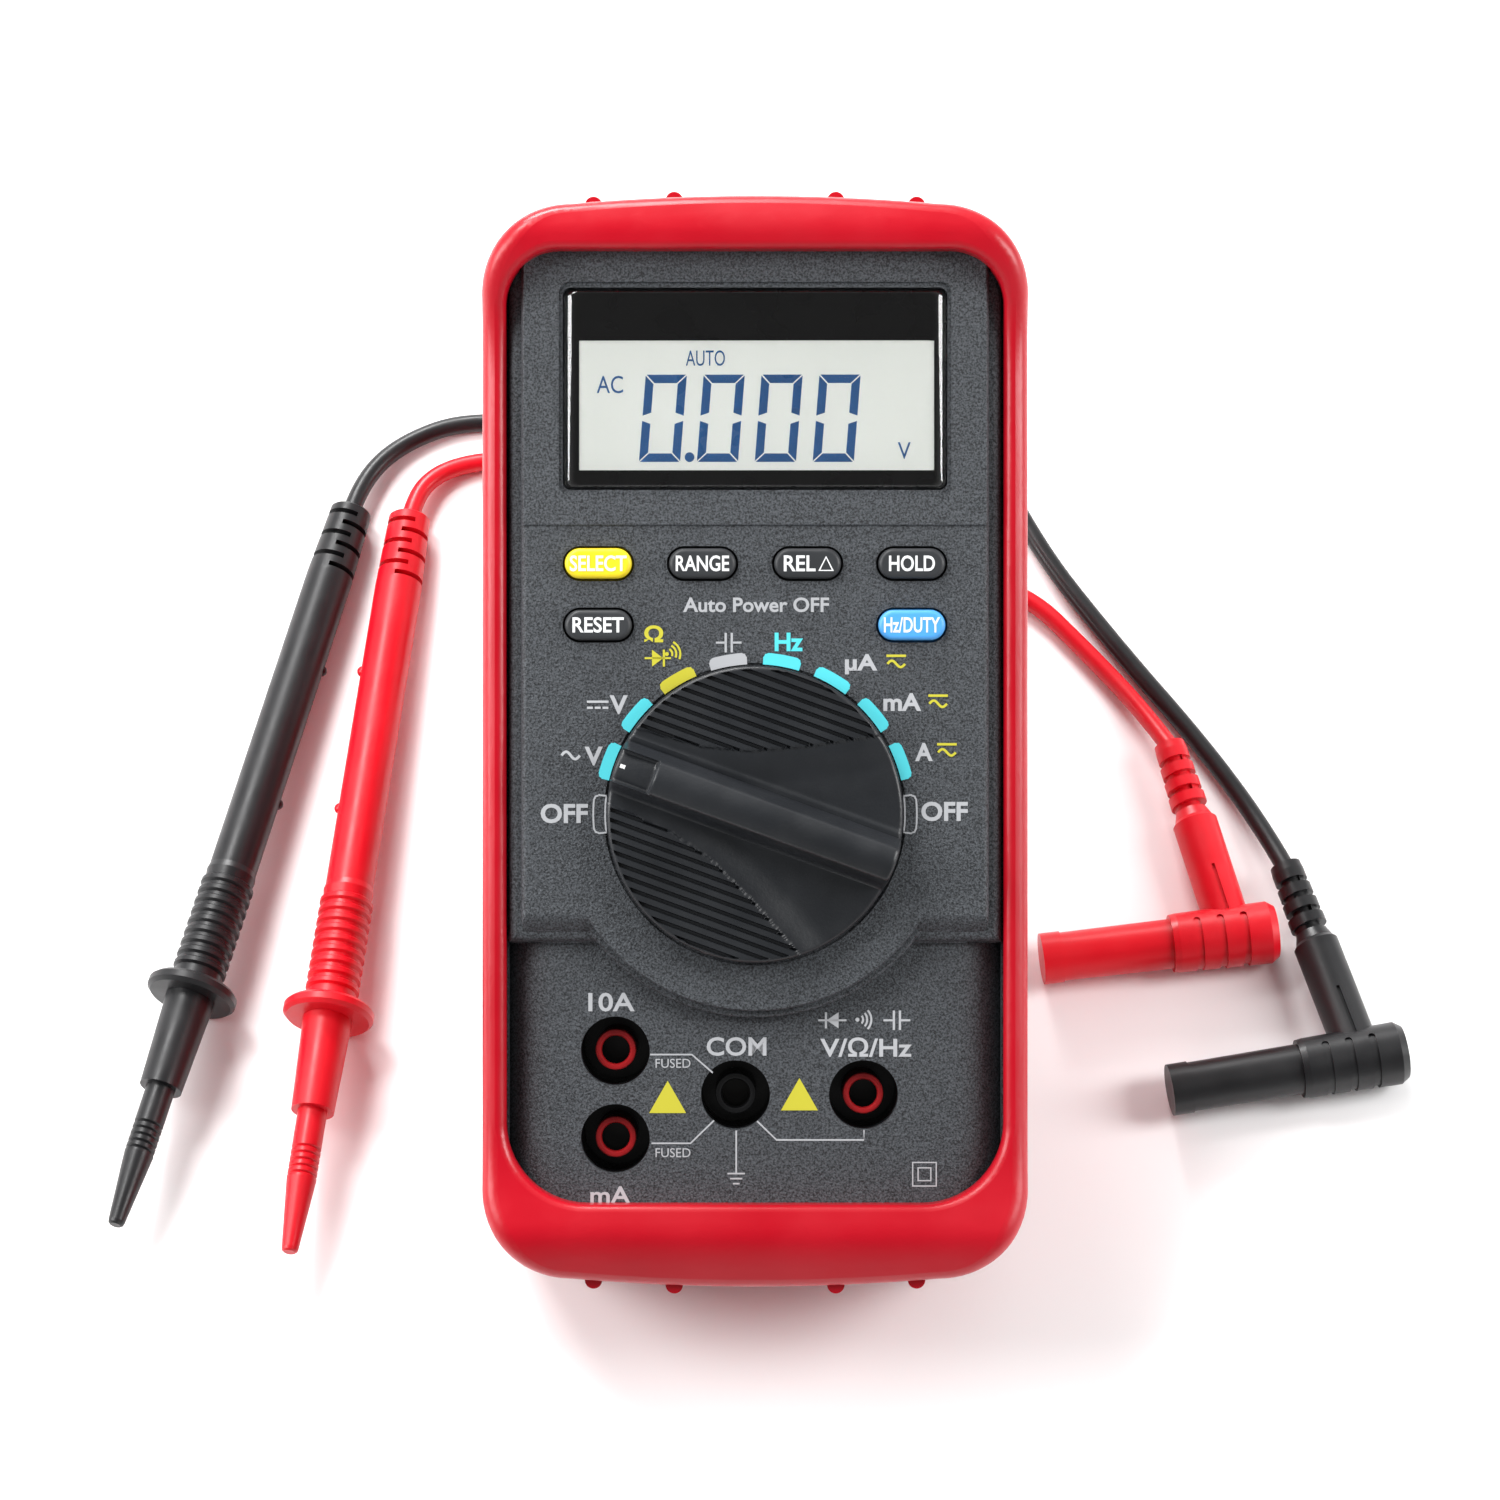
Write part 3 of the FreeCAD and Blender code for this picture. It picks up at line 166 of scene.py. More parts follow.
def boot_rubber():
    m = Nodes("boot_rubber", (0.42, 0.0008, 0.010), 0.34, Specular_IOR_Level=0.35)
    m.vary(m.noise(22.0, 4.0), "Fac", "Base Color", (0.38, 0.0006, 0.008), (0.45, 0.0010, 0.011))
    m.vary(m.noise(90.0, 3.0), "Fac", "Roughness", 0.29, 0.39)
    m.bump(m.noise(1300.0, 2.0), "Fac", 0.22, 0.00004)
    m.bsdf.inputs["Coat Weight"].default_value = 0.12
    m.bsdf.inputs["Coat Roughness"].default_value = 0.3
    return m.mat


def clear_window():
    m = Nodes("clear_window", (1.0, 1.0, 1.0), 0.04, IOR=1.7)
    m.bsdf.inputs["Transmission Weight"].default_value = 1.0
    m.vary(m.noise(35.0, 3.0), "Fac", "Roughness", 0.02, 0.05)
    return m.mat


def lcd_glass():
    # The emission is a painted glow: the reflective LCD gives no light of its own, so this faint shine only
    # makes it look brightly lit.
    m = Nodes("lcd_glass", (0.84, 0.86, 0.82), 0.3,
              Emission_Color=(0.80, 0.84, 0.78, 1.0), Emission_Strength=0.42)
    m.vary(m.noise(18.0, 3.0), "Fac", "Base Color", (0.80, 0.82, 0.78), (0.86, 0.88, 0.84))
    m.vary(m.noise(120.0, 2.0), "Fac", "Roughness", 0.2, 0.26)
    return m.mat


MATS = {
    "case": speckled_case(),
    "boot": boot_rubber(),
    "stand": plastic("stand_plastic", (0.035, 0.036, 0.040), 0.45),
    "knob": plastic("knob_plastic", (0.014, 0.0155, 0.018), 0.38, 1500.0, 0.00006, 0.6, 0.3,
                    Specular_IOR_Level=0.4),
    "yellow": plastic("key_yellow", (0.80, 0.62, 0.012), 0.42, 800.0, 0.00003),
    "grey": plastic("key_grey", (0.030, 0.032, 0.035), 0.45, 800.0, 0.00003, Specular_IOR_Level=0.35),
    "blue": plastic("key_blue", (0.07, 0.33, 0.74), 0.42, 800.0, 0.00003),
    "red_gloss": plastic("red_plastic", (0.50, 0.012, 0.016), 0.28, 500.0, 0.00002, 0.2),
    "black_gloss": plastic("black_plastic", (0.008, 0.008, 0.009), 0.22, 500.0, 0.00002, 0.2),
    "mask": plastic("black_mask", (0.001, 0.001, 0.0012), 0.3, 300.0, 0.00001, 0.1, Specular_IOR_Level=0.1),
    "window": clear_window(),
    "lcd": lcd_glass(),
    "steel": metal("steel", (0.60, 0.61, 0.63), 0.28, (1, 1, 8)),
    "brass": metal("nickel_brass", (0.78, 0.72, 0.60), 0.25),
    "copper": metal("copper", (0.85, 0.46, 0.30), 0.3),
    "natural": plastic("natural_plastic", (0.62, 0.60, 0.55), 0.5),
    "silicone": plastic("silicone", (0.16, 0.165, 0.175), 0.55),
    "ceramic": plastic("ceramic", (0.78, 0.76, 0.70), 0.3),
    "board": plastic("circuit_board", (0.012, 0.10, 0.035), 0.35, 400.0, 0.00003),
    "cell": plastic("battery_skin", (0.02, 0.04, 0.16), 0.3, 300.0, 0.00002),
    # Near-black metal for the jack sleeves: painted shade standing in for the dark inside of each jack's
    # bore.
    "socket": metal("socket_painted_shade", (0.035, 0.034, 0.033), 0.18),
    "ink_white": plastic("ink_white", (0.80, 0.81, 0.82), 0.5, 500.0, 0.00001, 0.2, 0.05),
    "ink_grey": plastic("ink_grey", (0.42, 0.43, 0.45), 0.5, 500.0, 0.00001, 0.2, 0.08),
    "ink_cyan": plastic("ink_cyan", (0.085, 0.66, 0.74), 0.5, 500.0, 0.00001, 0.2, 0.06),
    "ink_yellow": plastic("ink_yellow", (0.54, 0.50, 0.035), 0.5, 500.0, 0.00001, 0.2, 0.06),
    "ink_lcd": plastic("ink_lcd", (0.020, 0.14, 0.42), 0.3, 500.0, 0.00001, 0.2, 0.08),
    "lead_red": plastic("lead_red", (0.62, 0.003, 0.012), 0.36, 900.0, 0.00004, Specular_IOR_Level=0.4),
    "lead_black": plastic("lead_black", (0.009, 0.009, 0.010), 0.38, 900.0, 0.00004, Specular_IOR_Level=0.4),
}
SLOT_MATERIAL = {
    "boot_rubber": "boot", "case_plastic": "case", "stand_plastic": "stand", "steel": "steel",
    "clear_lens": "window", "black_mask": "mask", "lcd": "lcd", "inner_plastic": "natural",
    "silicone": "silicone", "key_yellow": "yellow", "key_grey": "grey", "key_blue": "blue",
    "knob_plastic": "knob", "black_plastic": "black_gloss", "red_plastic": "red_gloss",
    "brass": "brass", "copper": "copper", "circuit_board": "board", "ceramic": "ceramic",
    "battery_skin": "cell", "lead_black": "lead_black", "lead_red": "lead_red",
}
for entry in frame["record"]["subparts"]:
    node = nodes[entry["node"]]
    node.data.materials.clear()
    node.data.materials.append(MATS[SLOT_MATERIAL[entry["material_slot"]]])
# The jack sleeves take the near-black socket metal, which is painted shade for the inside of the bores.
nodes["jack_sleeves"].data.materials[0] = MATS["socket"]


def link(obj, mat=None, body="meter"):
    """Adds a piece to the scene, gives it its material and lets it ride on a body."""
    if obj.name not in bpy.context.scene.collection.objects:
        bpy.context.scene.collection.objects.link(obj)
    if mat:
        obj.data.materials.clear()
        obj.data.materials.append(MATS[mat])
    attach(obj, body)
    return obj


# ------------------------------------------------------------------ cords
CORD_D = 3.0
POINTS_A_TURN = 14
MOVE_SHARE = 0.25        # part of each turn in which the cord moves to its next place in the coil
SWELL = 0.3              # how far it bows, in diameters, where it climbs a layer
STEP_OUT = (0.5, 0.75)   # part of the last sweep in which the cord steps outwards off the coil
STEP_DOWN = 0.6          # and from where it goes down to the bench
BENCH_GAP = 0.05
ROUTES = {
    "black": {
        "probe": [(-66.4, 64.1, 3.45), (-64.9, 70.3, 2.6), (-58.6, 77.7, 1.75), (-47.3, 82.4, 1.55),
                  (-27.0, 80.0, 1.55), (-11.0, 86.0, 1.55), (3.0, 92.3, 1.55)],
        "plug": [(34.7, 86.0, 1.55), (45.6, 59.5, 1.55), (59.0, 39.9, 1.55), (72.0, 22.7, 1.6),
                 (81.0, 8.2, 2.4), (84.5, -0.5, 4.6)],
        "coil": (16.0, 78.4, 16.0),
    },
    "red": {
        "probe": [(-56.8, 62.6, 3.45), (-55.9, 67.0, 2.9), (-53.3, 70.9, 2.3), (-49.0, 73.4, 1.8),
                  (-42.5, 74.6, 1.55), (-27.2, 73.9, 1.55)],
        "plug": [(-5.3, 69.7, 1.55), (6.0, 57.6, 1.55), (26.0, 53.0, 1.55), (43.5, 51.0, 1.55),
                 (54.5, 38.7, 1.6), (62.8, 28.2, 2.4), (66.8, 20.7, 4.6)],
        "coil": (-20.0, 57.4, 15.0),
    },
}
# Places in the coil, in the order they are filled: diameters out from the middle, and layer.
STACK = [(0.5, 0), (-0.5, 0), (-0.5, 1), (0.5, 1), (0.5, 2), (-0.5, 2), (-0.5, 3), (0.5, 3)]


def coil_points(cx, cy, mid_r, before, after):
    """Clockwise turns, one in each place of STACK.

    The last is only part of a turn, and goes down outside the coil to the bench.
    """
    enter = math.degrees(math.atan2(before[1] - cy, before[0] - cx))
    leave = math.degrees(math.atan2(after[1] - cy, after[0] - cx))
    whole = len(STACK) - 1
    sweep = 360.0 * whole + enter - leave
    count = round(POINTS_A_TURN * sweep / 360.0)
    points = []
    for i in range(1, count):
        turned = sweep * i / count
        turn = min(int(turned / 360.0), whole)
        a, b = STACK[turn], STACK[min(turn + 1, whole)]
        part = max(0.0, (turned / 360.0 - turn - 1.0 + MOVE_SHARE) / MOVE_SHARE)
        done = max(0.0, turned - 360.0 * whole) / (enter - leave)
        if turn == whole:
            part = 0.0
        climbing = a[0] == b[0]
        swell = SWELL * math.sin(math.pi * part) * (1 if a[0] > 0 else -1) if climbing else 0.0
        outwards = min(1.0, max(0.0, (done - STEP_OUT[0]) / (STEP_OUT[1] - STEP_OUT[0])))
        column = a[0] + (b[0] - a[0]) * part + swell + outwards
        fall = max(0.0, (done - STEP_DOWN) / (1.0 - STEP_DOWN)) ** 1.5
        layer = (a[1] + (b[1] - a[1]) * part) * (1.0 - fall)
        r = mid_r + column * CORD_D
        angle = math.radians(enter - turned)
        height = BENCH_GAP + CORD_D * (layer + 0.5)
        points.append((cx + r * math.cos(angle), cy + r * math.sin(angle), height))
    return points


def cord_curve(name, points, colour):
    data = bpy.data.curves.new(name, "CURVE")
    data.dimensions = "3D"
    spline = data.splines.new("NURBS")
    spline.points.add(len(points) - 1)
    for p, co in zip(spline.points, points):
        p.co = (co[0] * MM, co[1] * MM, co[2] * MM, 1.0)
    spline.order_u = 3
    spline.use_endpoint_u = True
    spline.resolution_u = 8
    data.bevel_depth = CORD_D / 2 * MM
    data.bevel_resolution = 6
    data.use_fill_caps = True
    obj = bpy.data.objects.new(name, data)
    return link(obj, "lead_" + colour, "meter")


def make_cords():
    for colour, way in ROUTES.items():
        coil = coil_points(*way["coil"], way["probe"][-1], way["plug"][0])
        points = way["probe"] + coil + way["plug"]
        cord = cord_curve(colour + "_cord", points, colour)
        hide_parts(colour + "_probe_cord", colour + "_cord_coil", colour + "_plug_cord")


make_cords()


# ------------------------------------------------------------------ drawing on the face
PRINT_T = 0.05       # thickness of printed ink, mm


def soft_shade(obj, degrees=35.0):
    obj.data.shade_smooth()
    obj.data.set_sharp_from_angle(angle=math.radians(degrees))
    return obj


def mesh_piece(name, bm, mat, body="meter", place=FACE):
    """Turns a bmesh drawn in millimetres into a piece of the scene."""
    mesh = bpy.data.meshes.new(name)
    bm.normal_update()
    bm.to_mesh(mesh)
    bm.free()
    mesh.transform(place)
    obj = bpy.data.objects.new(name, mesh)
    return soft_shade(link(obj, mat, body))


def arc(x, y, r, a0, a1, steps=12):
    """Points of an arc between two angles in degrees."""
    return [(x + r * math.cos(math.radians(a0 + (a1 - a0) * i / steps)),
             y + r * math.sin(math.radians(a0 + (a1 - a0) * i / steps))) for i in range(steps + 1)]


def stroke(points, width, closed=False):
    """Outlines of a line of even width, one polygon for each of its runs' joined quads."""
    n = len(points)
    sides = []
    for i, p in enumerate(points):
        a = points[i - 1] if (i or closed) else p
        b = points[(i + 1) % n] if (i < n - 1 or closed) else p
        way = Vector((b[0] - a[0], b[1] - a[1])).normalized()
        sides.append(((p[0] - way.y * width / 2, p[1] + way.x * width / 2),
                      (p[0] + way.y * width / 2, p[1] - way.x * width / 2)))
    last = n if closed else n - 1
    return [[sides[i][0], sides[i][1], sides[(i + 1) % n][1], sides[(i + 1) % n][0]] for i in range(last)]


class Print:
    """Ink of one colour on one body: words and flat shapes a hair above a surface."""

    def __init__(self, name, mat, body="meter", slot=None):
        self.name, self.mat, self.body, self.slot = name, mat, body, slot
        self.bm = bmesh.new()

    def shape(self, z, polygons):
        for outline in polygons:
            low = [self.bm.verts.new((x, y, z)) for x, y in outline]
            high = [self.bm.verts.new((x, y, z + PRINT_T)) for x, y in outline]
            n = len(outline)
            for i in range(n):
                self.bm.faces.new((low[i], low[(i + 1) % n], high[(i + 1) % n], high[i]))
            self.bm.faces.new(low[::-1])
            self.bm.faces.new(high)
        return self

    def words(self, z, text, x, y, width, height, bold=0.03):
        """Fits a word to a box of this width and height centred on x, y."""
        data = bpy.data.curves.new("word", "FONT")
        data.body = text
        data.offset = bold
        data.extrude = 0.5
        data.resolution_u = 4
        holder = bpy.data.objects.new("word", data)
        bpy.context.scene.collection.objects.link(holder)
        bpy.context.view_layer.update()
        mesh = bpy.data.meshes.new_from_object(holder.evaluated_get(bpy.context.evaluated_depsgraph_get()))
        bpy.data.objects.remove(holder)
        bpy.data.curves.remove(data)
        xs = [v.co.x for v in mesh.vertices]
        ys = [v.co.y for v in mesh.vertices]
        fx, fy = width / (max(xs) - min(xs)), height / (max(ys) - min(ys))
        fit = Matrix.Translation((x, y, z + PRINT_T / 2)) @ Matrix.Diagonal((fx, fy, PRINT_T, 1.0))
        fit = fit @ Matrix.Translation((-(max(xs) + min(xs)) / 2, -(max(ys) + min(ys)) / 2, 0.0))
        mesh.transform(fit)
        self.bm.from_mesh(mesh)
        bpy.data.meshes.remove(mesh)
        return self

    def done(self):
        bmesh.ops.remove_doubles(self.bm, verts=self.bm.verts, dist=0.0001)
        bmesh.ops.recalc_face_normals(self.bm, faces=self.bm.faces)
        return mesh_piece(self.name, self.bm, self.mat, self.body)


def box_at(x, y, width, height):
    w, h = width / 2, height / 2
    return [(x - w, y - h), (x + w, y - h), (x + w, y + h), (x - w, y + h)]


def sine(x, y, width, height):
    """One wave of an alternating current sign."""
    return [(x + width * (i / 16 - 0.5), y + height / 2 * math.sin(2 * math.pi * i / 16)) for i in range(17)]


def both_currents(x, y, width=2.9):
    """A bar over a wave, for direct and alternating current."""
    return [box_at(x, y + 0.75, width, 0.36)] + stroke(sine(x, y - 0.45, width * 0.9, 0.95), 0.36)


def diode(x, y, width, height):
    half = height / 2
    tip, back = x + width * 0.20, x - width * 0.22
    return [[(back, y - half), (tip, y), (back, y + half)], box_at(tip + 0.12, y, 0.32, height),
            box_at(x, y, width, 0.28)]


def sound(x, y, size):
    """A dot and three waves, for the continuity buzzer."""
    marks = [arc(x - size * 0.42, y, size * 0.11, 0, 345, 15)]
    for k in range(3):
        marks += stroke(arc(x - size * 0.42, y, size * (0.30 + 0.22 * k), -42, 42), 0.3)
    return marks


def capacitor(x, y, width, height):
    gap = 0.45
    marks = []
    for side in (-1, 1):
        marks.append(box_at(x + side * gap, y, 0.34, height))
        marks.append(box_at(x + side * (gap + width / 2) / 2, y, width / 2 - gap, 0.3))
    return marks


def turned(polygons, x, y, degrees):
    """The polygons turned about a point."""
    c, s = math.cos(math.radians(degrees)), math.sin(math.radians(degrees))
    return [[(x + (px - x) * c - (py - y) * s, y + (px - x) * s + (py - y) * c) for px, py in polygon]
            for polygon in polygons]


# ------------------------------------------------------------------ selector scale
PAD_R = (22.2, 23.95)
PAD_HALF = 7.0       # half the angle that each pad takes up, degrees


def pad(angle):
    """Outline of a pad with rounded outer corners, round the selector."""
    r0, r1 = PAD_R
    return (arc(KNOB_X, KNOB_Y, r0, angle - PAD_HALF, angle + PAD_HALF)
            + arc(KNOB_X, KNOB_Y, r1 - 0.6, angle + PAD_HALF, angle + PAD_HALF - 0.2, 1)
            + arc(KNOB_X, KNOB_Y, r1 - 0.15, angle + PAD_HALF - 0.7, angle + PAD_HALF - 1.0, 1)
            + arc(KNOB_X, KNOB_Y, r1, angle + PAD_HALF - 1.8, angle - PAD_HALF + 1.8)
            + arc(KNOB_X, KNOB_Y, r1 - 0.15, angle - PAD_HALF + 1.0, angle - PAD_HALF + 0.7, 1)
            + arc(KNOB_X, KNOB_Y, r1 - 0.6, angle - PAD_HALF + 0.2, angle - PAD_HALF, 1))


def make_scale():
    cyan = Print("scale_cyan", "ink_cyan")
    cyan.shape(UPPER_Z, [pad(a) for a in (160, 140, 80, 60, 40, 20)])
    cyan.words(UPPER_Z, "Hz", 5.0, 14.9, 4.2, 2.75).done()
    yellow = Print("scale_yellow", "ink_yellow")
    buzzer = turned(sound(-12.0, 13.5, 2.7), -12.0, 13.5, 20)
    yellow.shape(UPPER_Z, [pad(120)] + diode(-14.4, 12.5, 3.9, 2.5) + buzzer)
    yellow.words(UPPER_Z, "Ω", -15.0, 16.1, 2.8, 2.5)
    for x, y in ((20.9, 12.1), (27.1, 6.2), (28.4, -1.0)):
        yellow.shape(UPPER_Z, both_currents(x, y))
    yellow.done()
    grey = Print("scale_grey", "ink_grey")
    grey.shape(UPPER_Z, [pad(100)] + capacitor(-3.9, 14.8, 3.8, 2.9))
    for angle in (0, 180):
        grey.shape(UPPER_Z, stroke(pad(angle), 0.26, closed=True))
    grey.shape(UPPER_Z, stroke(sine(-27.3, -1.9, 2.7, 1.1), 0.4))
    dashes = [box_at(-23.3 + k * 1.15, 5.15, 0.85, 0.34) for k in (-1, 0, 1)]
    grey.shape(UPPER_Z, [box_at(-23.3, 6.05, 3.2, 0.34)] + dashes)
    for text, x, y, w, h in (("V", -23.9, -2.0, 2.7, 2.8), ("V", -20.2, 5.6, 2.7, 2.8),
                             ("OFF", -28.25, -10.5, 7.0, 2.9), ("OFF", 28.05, -10.2, 6.9, 2.9),
                             ("µA", 15.7, 11.6, 4.8, 3.0), ("mA", 21.8, 6.0, 5.6, 2.65),
                             ("A", 25.0, -1.4, 2.6, 2.7)):
        grey.words(UPPER_Z, text, x, y, w, h)
    grey.words(UPPER_Z, "Auto Power OFF", 0.15, 20.4, 21.6, 2.2, 0.022)
    grey.done()


# ------------------------------------------------------------------ key legends
def make_key_legends():
    for node, text, x, y, w, h in (
            ("button_select", "SELECT", -23.2, 26.5, 8.4, 2.35),
            ("button_range", "RANGE", -7.78, 26.5, 7.9, 2.35),
            ("button_hold", "HOLD", 23.2, 26.5, 6.8, 2.35),
            ("button_reset", "RESET", -23.2, 17.4, 7.6, 2.3),
            ("button_relative", "REL", 6.6, 26.5, 4.7, 2.35),
            ("button_frequency", "Hz/DUTY", 23.2, 17.4, 8.3, 2.3)):
        legend = Print(node.replace("button", "legend"), "ink_white", node)
        legend.words(KEY_Z, text, x, y, w, h, 0.018)
        if node == "button_relative":
            legend.shape(KEY_Z, stroke([(9.5, 25.45), (11.5, 25.45), (10.5, 27.45)], 0.33, closed=True))
        legend.done()


# ------------------------------------------------------------------ display
DIGIT_H, DIGIT_W, DIGIT_PITCH = 12.9, 6.1, 8.58
BAR_T = 1.25
SLANT = math.tan(math.radians(4.5))
FIRST_DIGIT = (-13.65, 48.1)


def segments(x, y, lit):
    """Seven-segment digit: outlines of the lit bars, a to g."""
    w, h, t, gap = DIGIT_W / 2, DIGIT_H / 2, BAR_T, 0.14
    m = t / 2

    def across(yy, cut):
        return [(-w + gap, yy + cut * m), (w - gap, yy + cut * m),
                (w - gap - t, yy - cut * m), (-w + gap + t, yy - cut * m)]

    def upright(side, low, high, cut_low, cut_high):
        out, inn = side * w, side * (w - t)
        return [(out, low + gap), (out, high - gap),
                (inn, high - gap - cut_high * t), (inn, low + gap + cut_low * t)]

    bars = {
        "a": across(h - m, 1), "d": across(-h + m, -1),
        "b": upright(1, 0.25, h, 0.35, 1), "c": upright(1, -h, -0.25, 1, 0.35),
        "e": upright(-1, -h, -0.25, 1, 0.35), "f": upright(-1, 0.25, h, 0.35, 1),
    }
    return [[(x + px + py * SLANT, y + py) for px, py in bars[k]] for k in lit]


def make_reading():
    ink = Print("lcd_reading", "ink_lcd", slot="lcd")
    x, y = FIRST_DIGIT
    for k in range(4):
        ink.shape(LCD_Z, segments(x + k * DIGIT_PITCH, y, "abcdef"))
    ink.shape(LCD_Z, [arc(x + DIGIT_PITCH / 2 - 0.35, y - DIGIT_H / 2 + 0.7, 0.72, 0, 345, 23)])
    ink.words(LCD_Z, "AC", -21.5, 53.1, 3.9, 2.6, 0.0)
    ink.words(LCD_Z, "AUTO", -7.35, 57.0, 5.8, 2.3, 0.0)
    ink.words(LCD_Z, "V", 22.1, 43.3, 1.9, 2.5, 0.0)
    ink.done()


# ------------------------------------------------------------------ jack legends
LEGEND_LINE = 0.24


def make_jack_legends():
    ink = Print("jack_legends", "ink_grey")
    for text, x, y, w, h in (("10A", -21.35, -38.6, 6.9, 2.8), ("COM", -2.75, -45.2, 8.9, 2.8),
                             ("V/Ω/Hz", 16.5, -45.3, 13.6, 2.9), ("mA", -21.5, -67.3, 6.0, 2.6),
                             ("FUSED", -12.2, -47.7, 5.2, 1.35), ("FUSED", -12.2, -61.0, 5.2, 1.35)):
        ink.words(LOWER_Z, text, x, y, w, h, 0.018 if h > 2 else 0.0)
    back_diode = turned(diode(11.5, -41.3, 4.2, 2.4), 11.5, -41.3, 180)
    ink.shape(LOWER_Z, back_diode + sound(16.4, -41.2, 2.8) + capacitor(21.1, -41.3, 4.0, 2.9))
    for run in ([(-15.6, -46.4), (-9.4, -46.4), (-6.3, -49.1)],
                [(-15.4, -59.6), (-9.6, -59.6), (-6.1, -56.2)],
                [(-2.8, -57.7), (-2.8, -64.0)],
                [(0.3, -56.3), (3.2, -59.1), (16.2, -59.1), (16.2, -57.6)]):
        ink.shape(LOWER_Z, stroke(run, LEGEND_LINE))
    ink.shape(LOWER_Z, [box_at(-2.8, -64.1 - 0.75 * k, 2.6 - 0.8 * k, LEGEND_LINE) for k in range(3)])
    for size in (3.5, 1.9):
        ink.shape(LOWER_Z, stroke(box_at(25.2, -64.2, size, size), 0.26, closed=True))
    ink.done()
    marks = Print("jack_marks", "ink_yellow")
    for x, y in ((-13.0, -52.8), (6.6, -52.4)):
        marks.shape(LOWER_Z, [[(x - 2.75, y - 2.3), (x + 2.75, y - 2.3), (x, y + 2.5)]])
    marks.done()


# ------------------------------------------------------------------ selector knob
KNOB_R, KNOB_TOP, KNOB_LOW, BAR_TOP = 21.9, 40.0, 35.6, 43.9
POINTER = math.radians(160.0)
GROOVE_START, GROOVE_PITCH, GROOVE_TOP, GROOVE_FLOOR, GROOVE_DEEP = 6.6, 1.44, 0.34, 0.16, 0.75
# Edge of the smooth scoop beside the bar: distance from the bar's middle, by place along it.
SCOOP_EDGE = ((-21.9, 5.9), (-20.9, 6.0), (-10.7, 6.8), (-3.85, 8.6), (4.2, 12.3), (12.5, 16.9), (22.0, 22.2))
SCOOP_STEP, SCOOP_DEEP, SCOOP_RUN = 0.30, 0.95, 6.0     # its edge, its hollow and how far that takes
FLANK_FOOT, FLANK_RUN = 4.2, 1.9                         # the bar's sides
CREST_HALF, CREST_FALL = 2.6, 0.75                       # its rounded crest
NOTCH_FROM, NOTCH_DEEP = -15.6, 1.3                      # notch in its pointer end
RIM_ROUND = 0.7
ACROSS = 240             # faces along each row of the knob's top
MARK_U = -20.6           # the pointer's white mark


def ease(t):
    t = max(0.0, min(1.0, t))
    return t * t * (3.0 - 2.0 * t)


def along(table, u):
    for (a, va), (b, vb) in zip(table, table[1:]):
        if u <= b:
            return va + (vb - va) * max(0.0, u - a) / (b - a)
    return table[-1][1]


def knob_height(u, v):
    """Height of the knob's top; u runs along the grip bar from its pointer end to its tail."""
    side, r = abs(v), math.hypot(u, v)
    edge = along(SCOOP_EDGE, u) - side
    z = KNOB_TOP
    if edge > 0.0:
        z -= SCOOP_STEP * ease(edge / 0.25) + SCOOP_DEEP * ease(edge / SCOOP_RUN)
    elif r < KNOB_R - 0.5:
        k = round((side - GROOVE_START) / GROOVE_PITCH)
        off = abs(side - GROOVE_START - k * GROOVE_PITCH)
        if k >= 0 and off < GROOVE_TOP - 0.01:
            z -= GROOVE_DEEP * ease((GROOVE_TOP - off) / (GROOVE_TOP - GROOVE_FLOOR))
    flank = ease((FLANK_FOOT - side) / FLANK_RUN)
    ridge = BAR_TOP - CREST_FALL * (side / CREST_HALF) ** 2
    if u < NOTCH_FROM and side < CREST_HALF:
        ridge -= NOTCH_DEEP * ease((NOTCH_FROM - u) / 0.5) * ease((CREST_HALF - side) / 0.35)
        ridge -= 0.12 * max(0.0, -16.0 - u)
    z += (ridge - z) * flank
    if 3.9 < side < 5.0 and v > 0:
        z += 0.25 * ease((5.0 - side) / 0.15) * (1.0 if z < KNOB_TOP else 0.0)
    inset = r - (KNOB_R - RIM_ROUND)
    if inset > 0.0:
        z -= RIM_ROUND - math.sqrt(max(0.0, RIM_ROUND ** 2 - inset * inset))
    return z


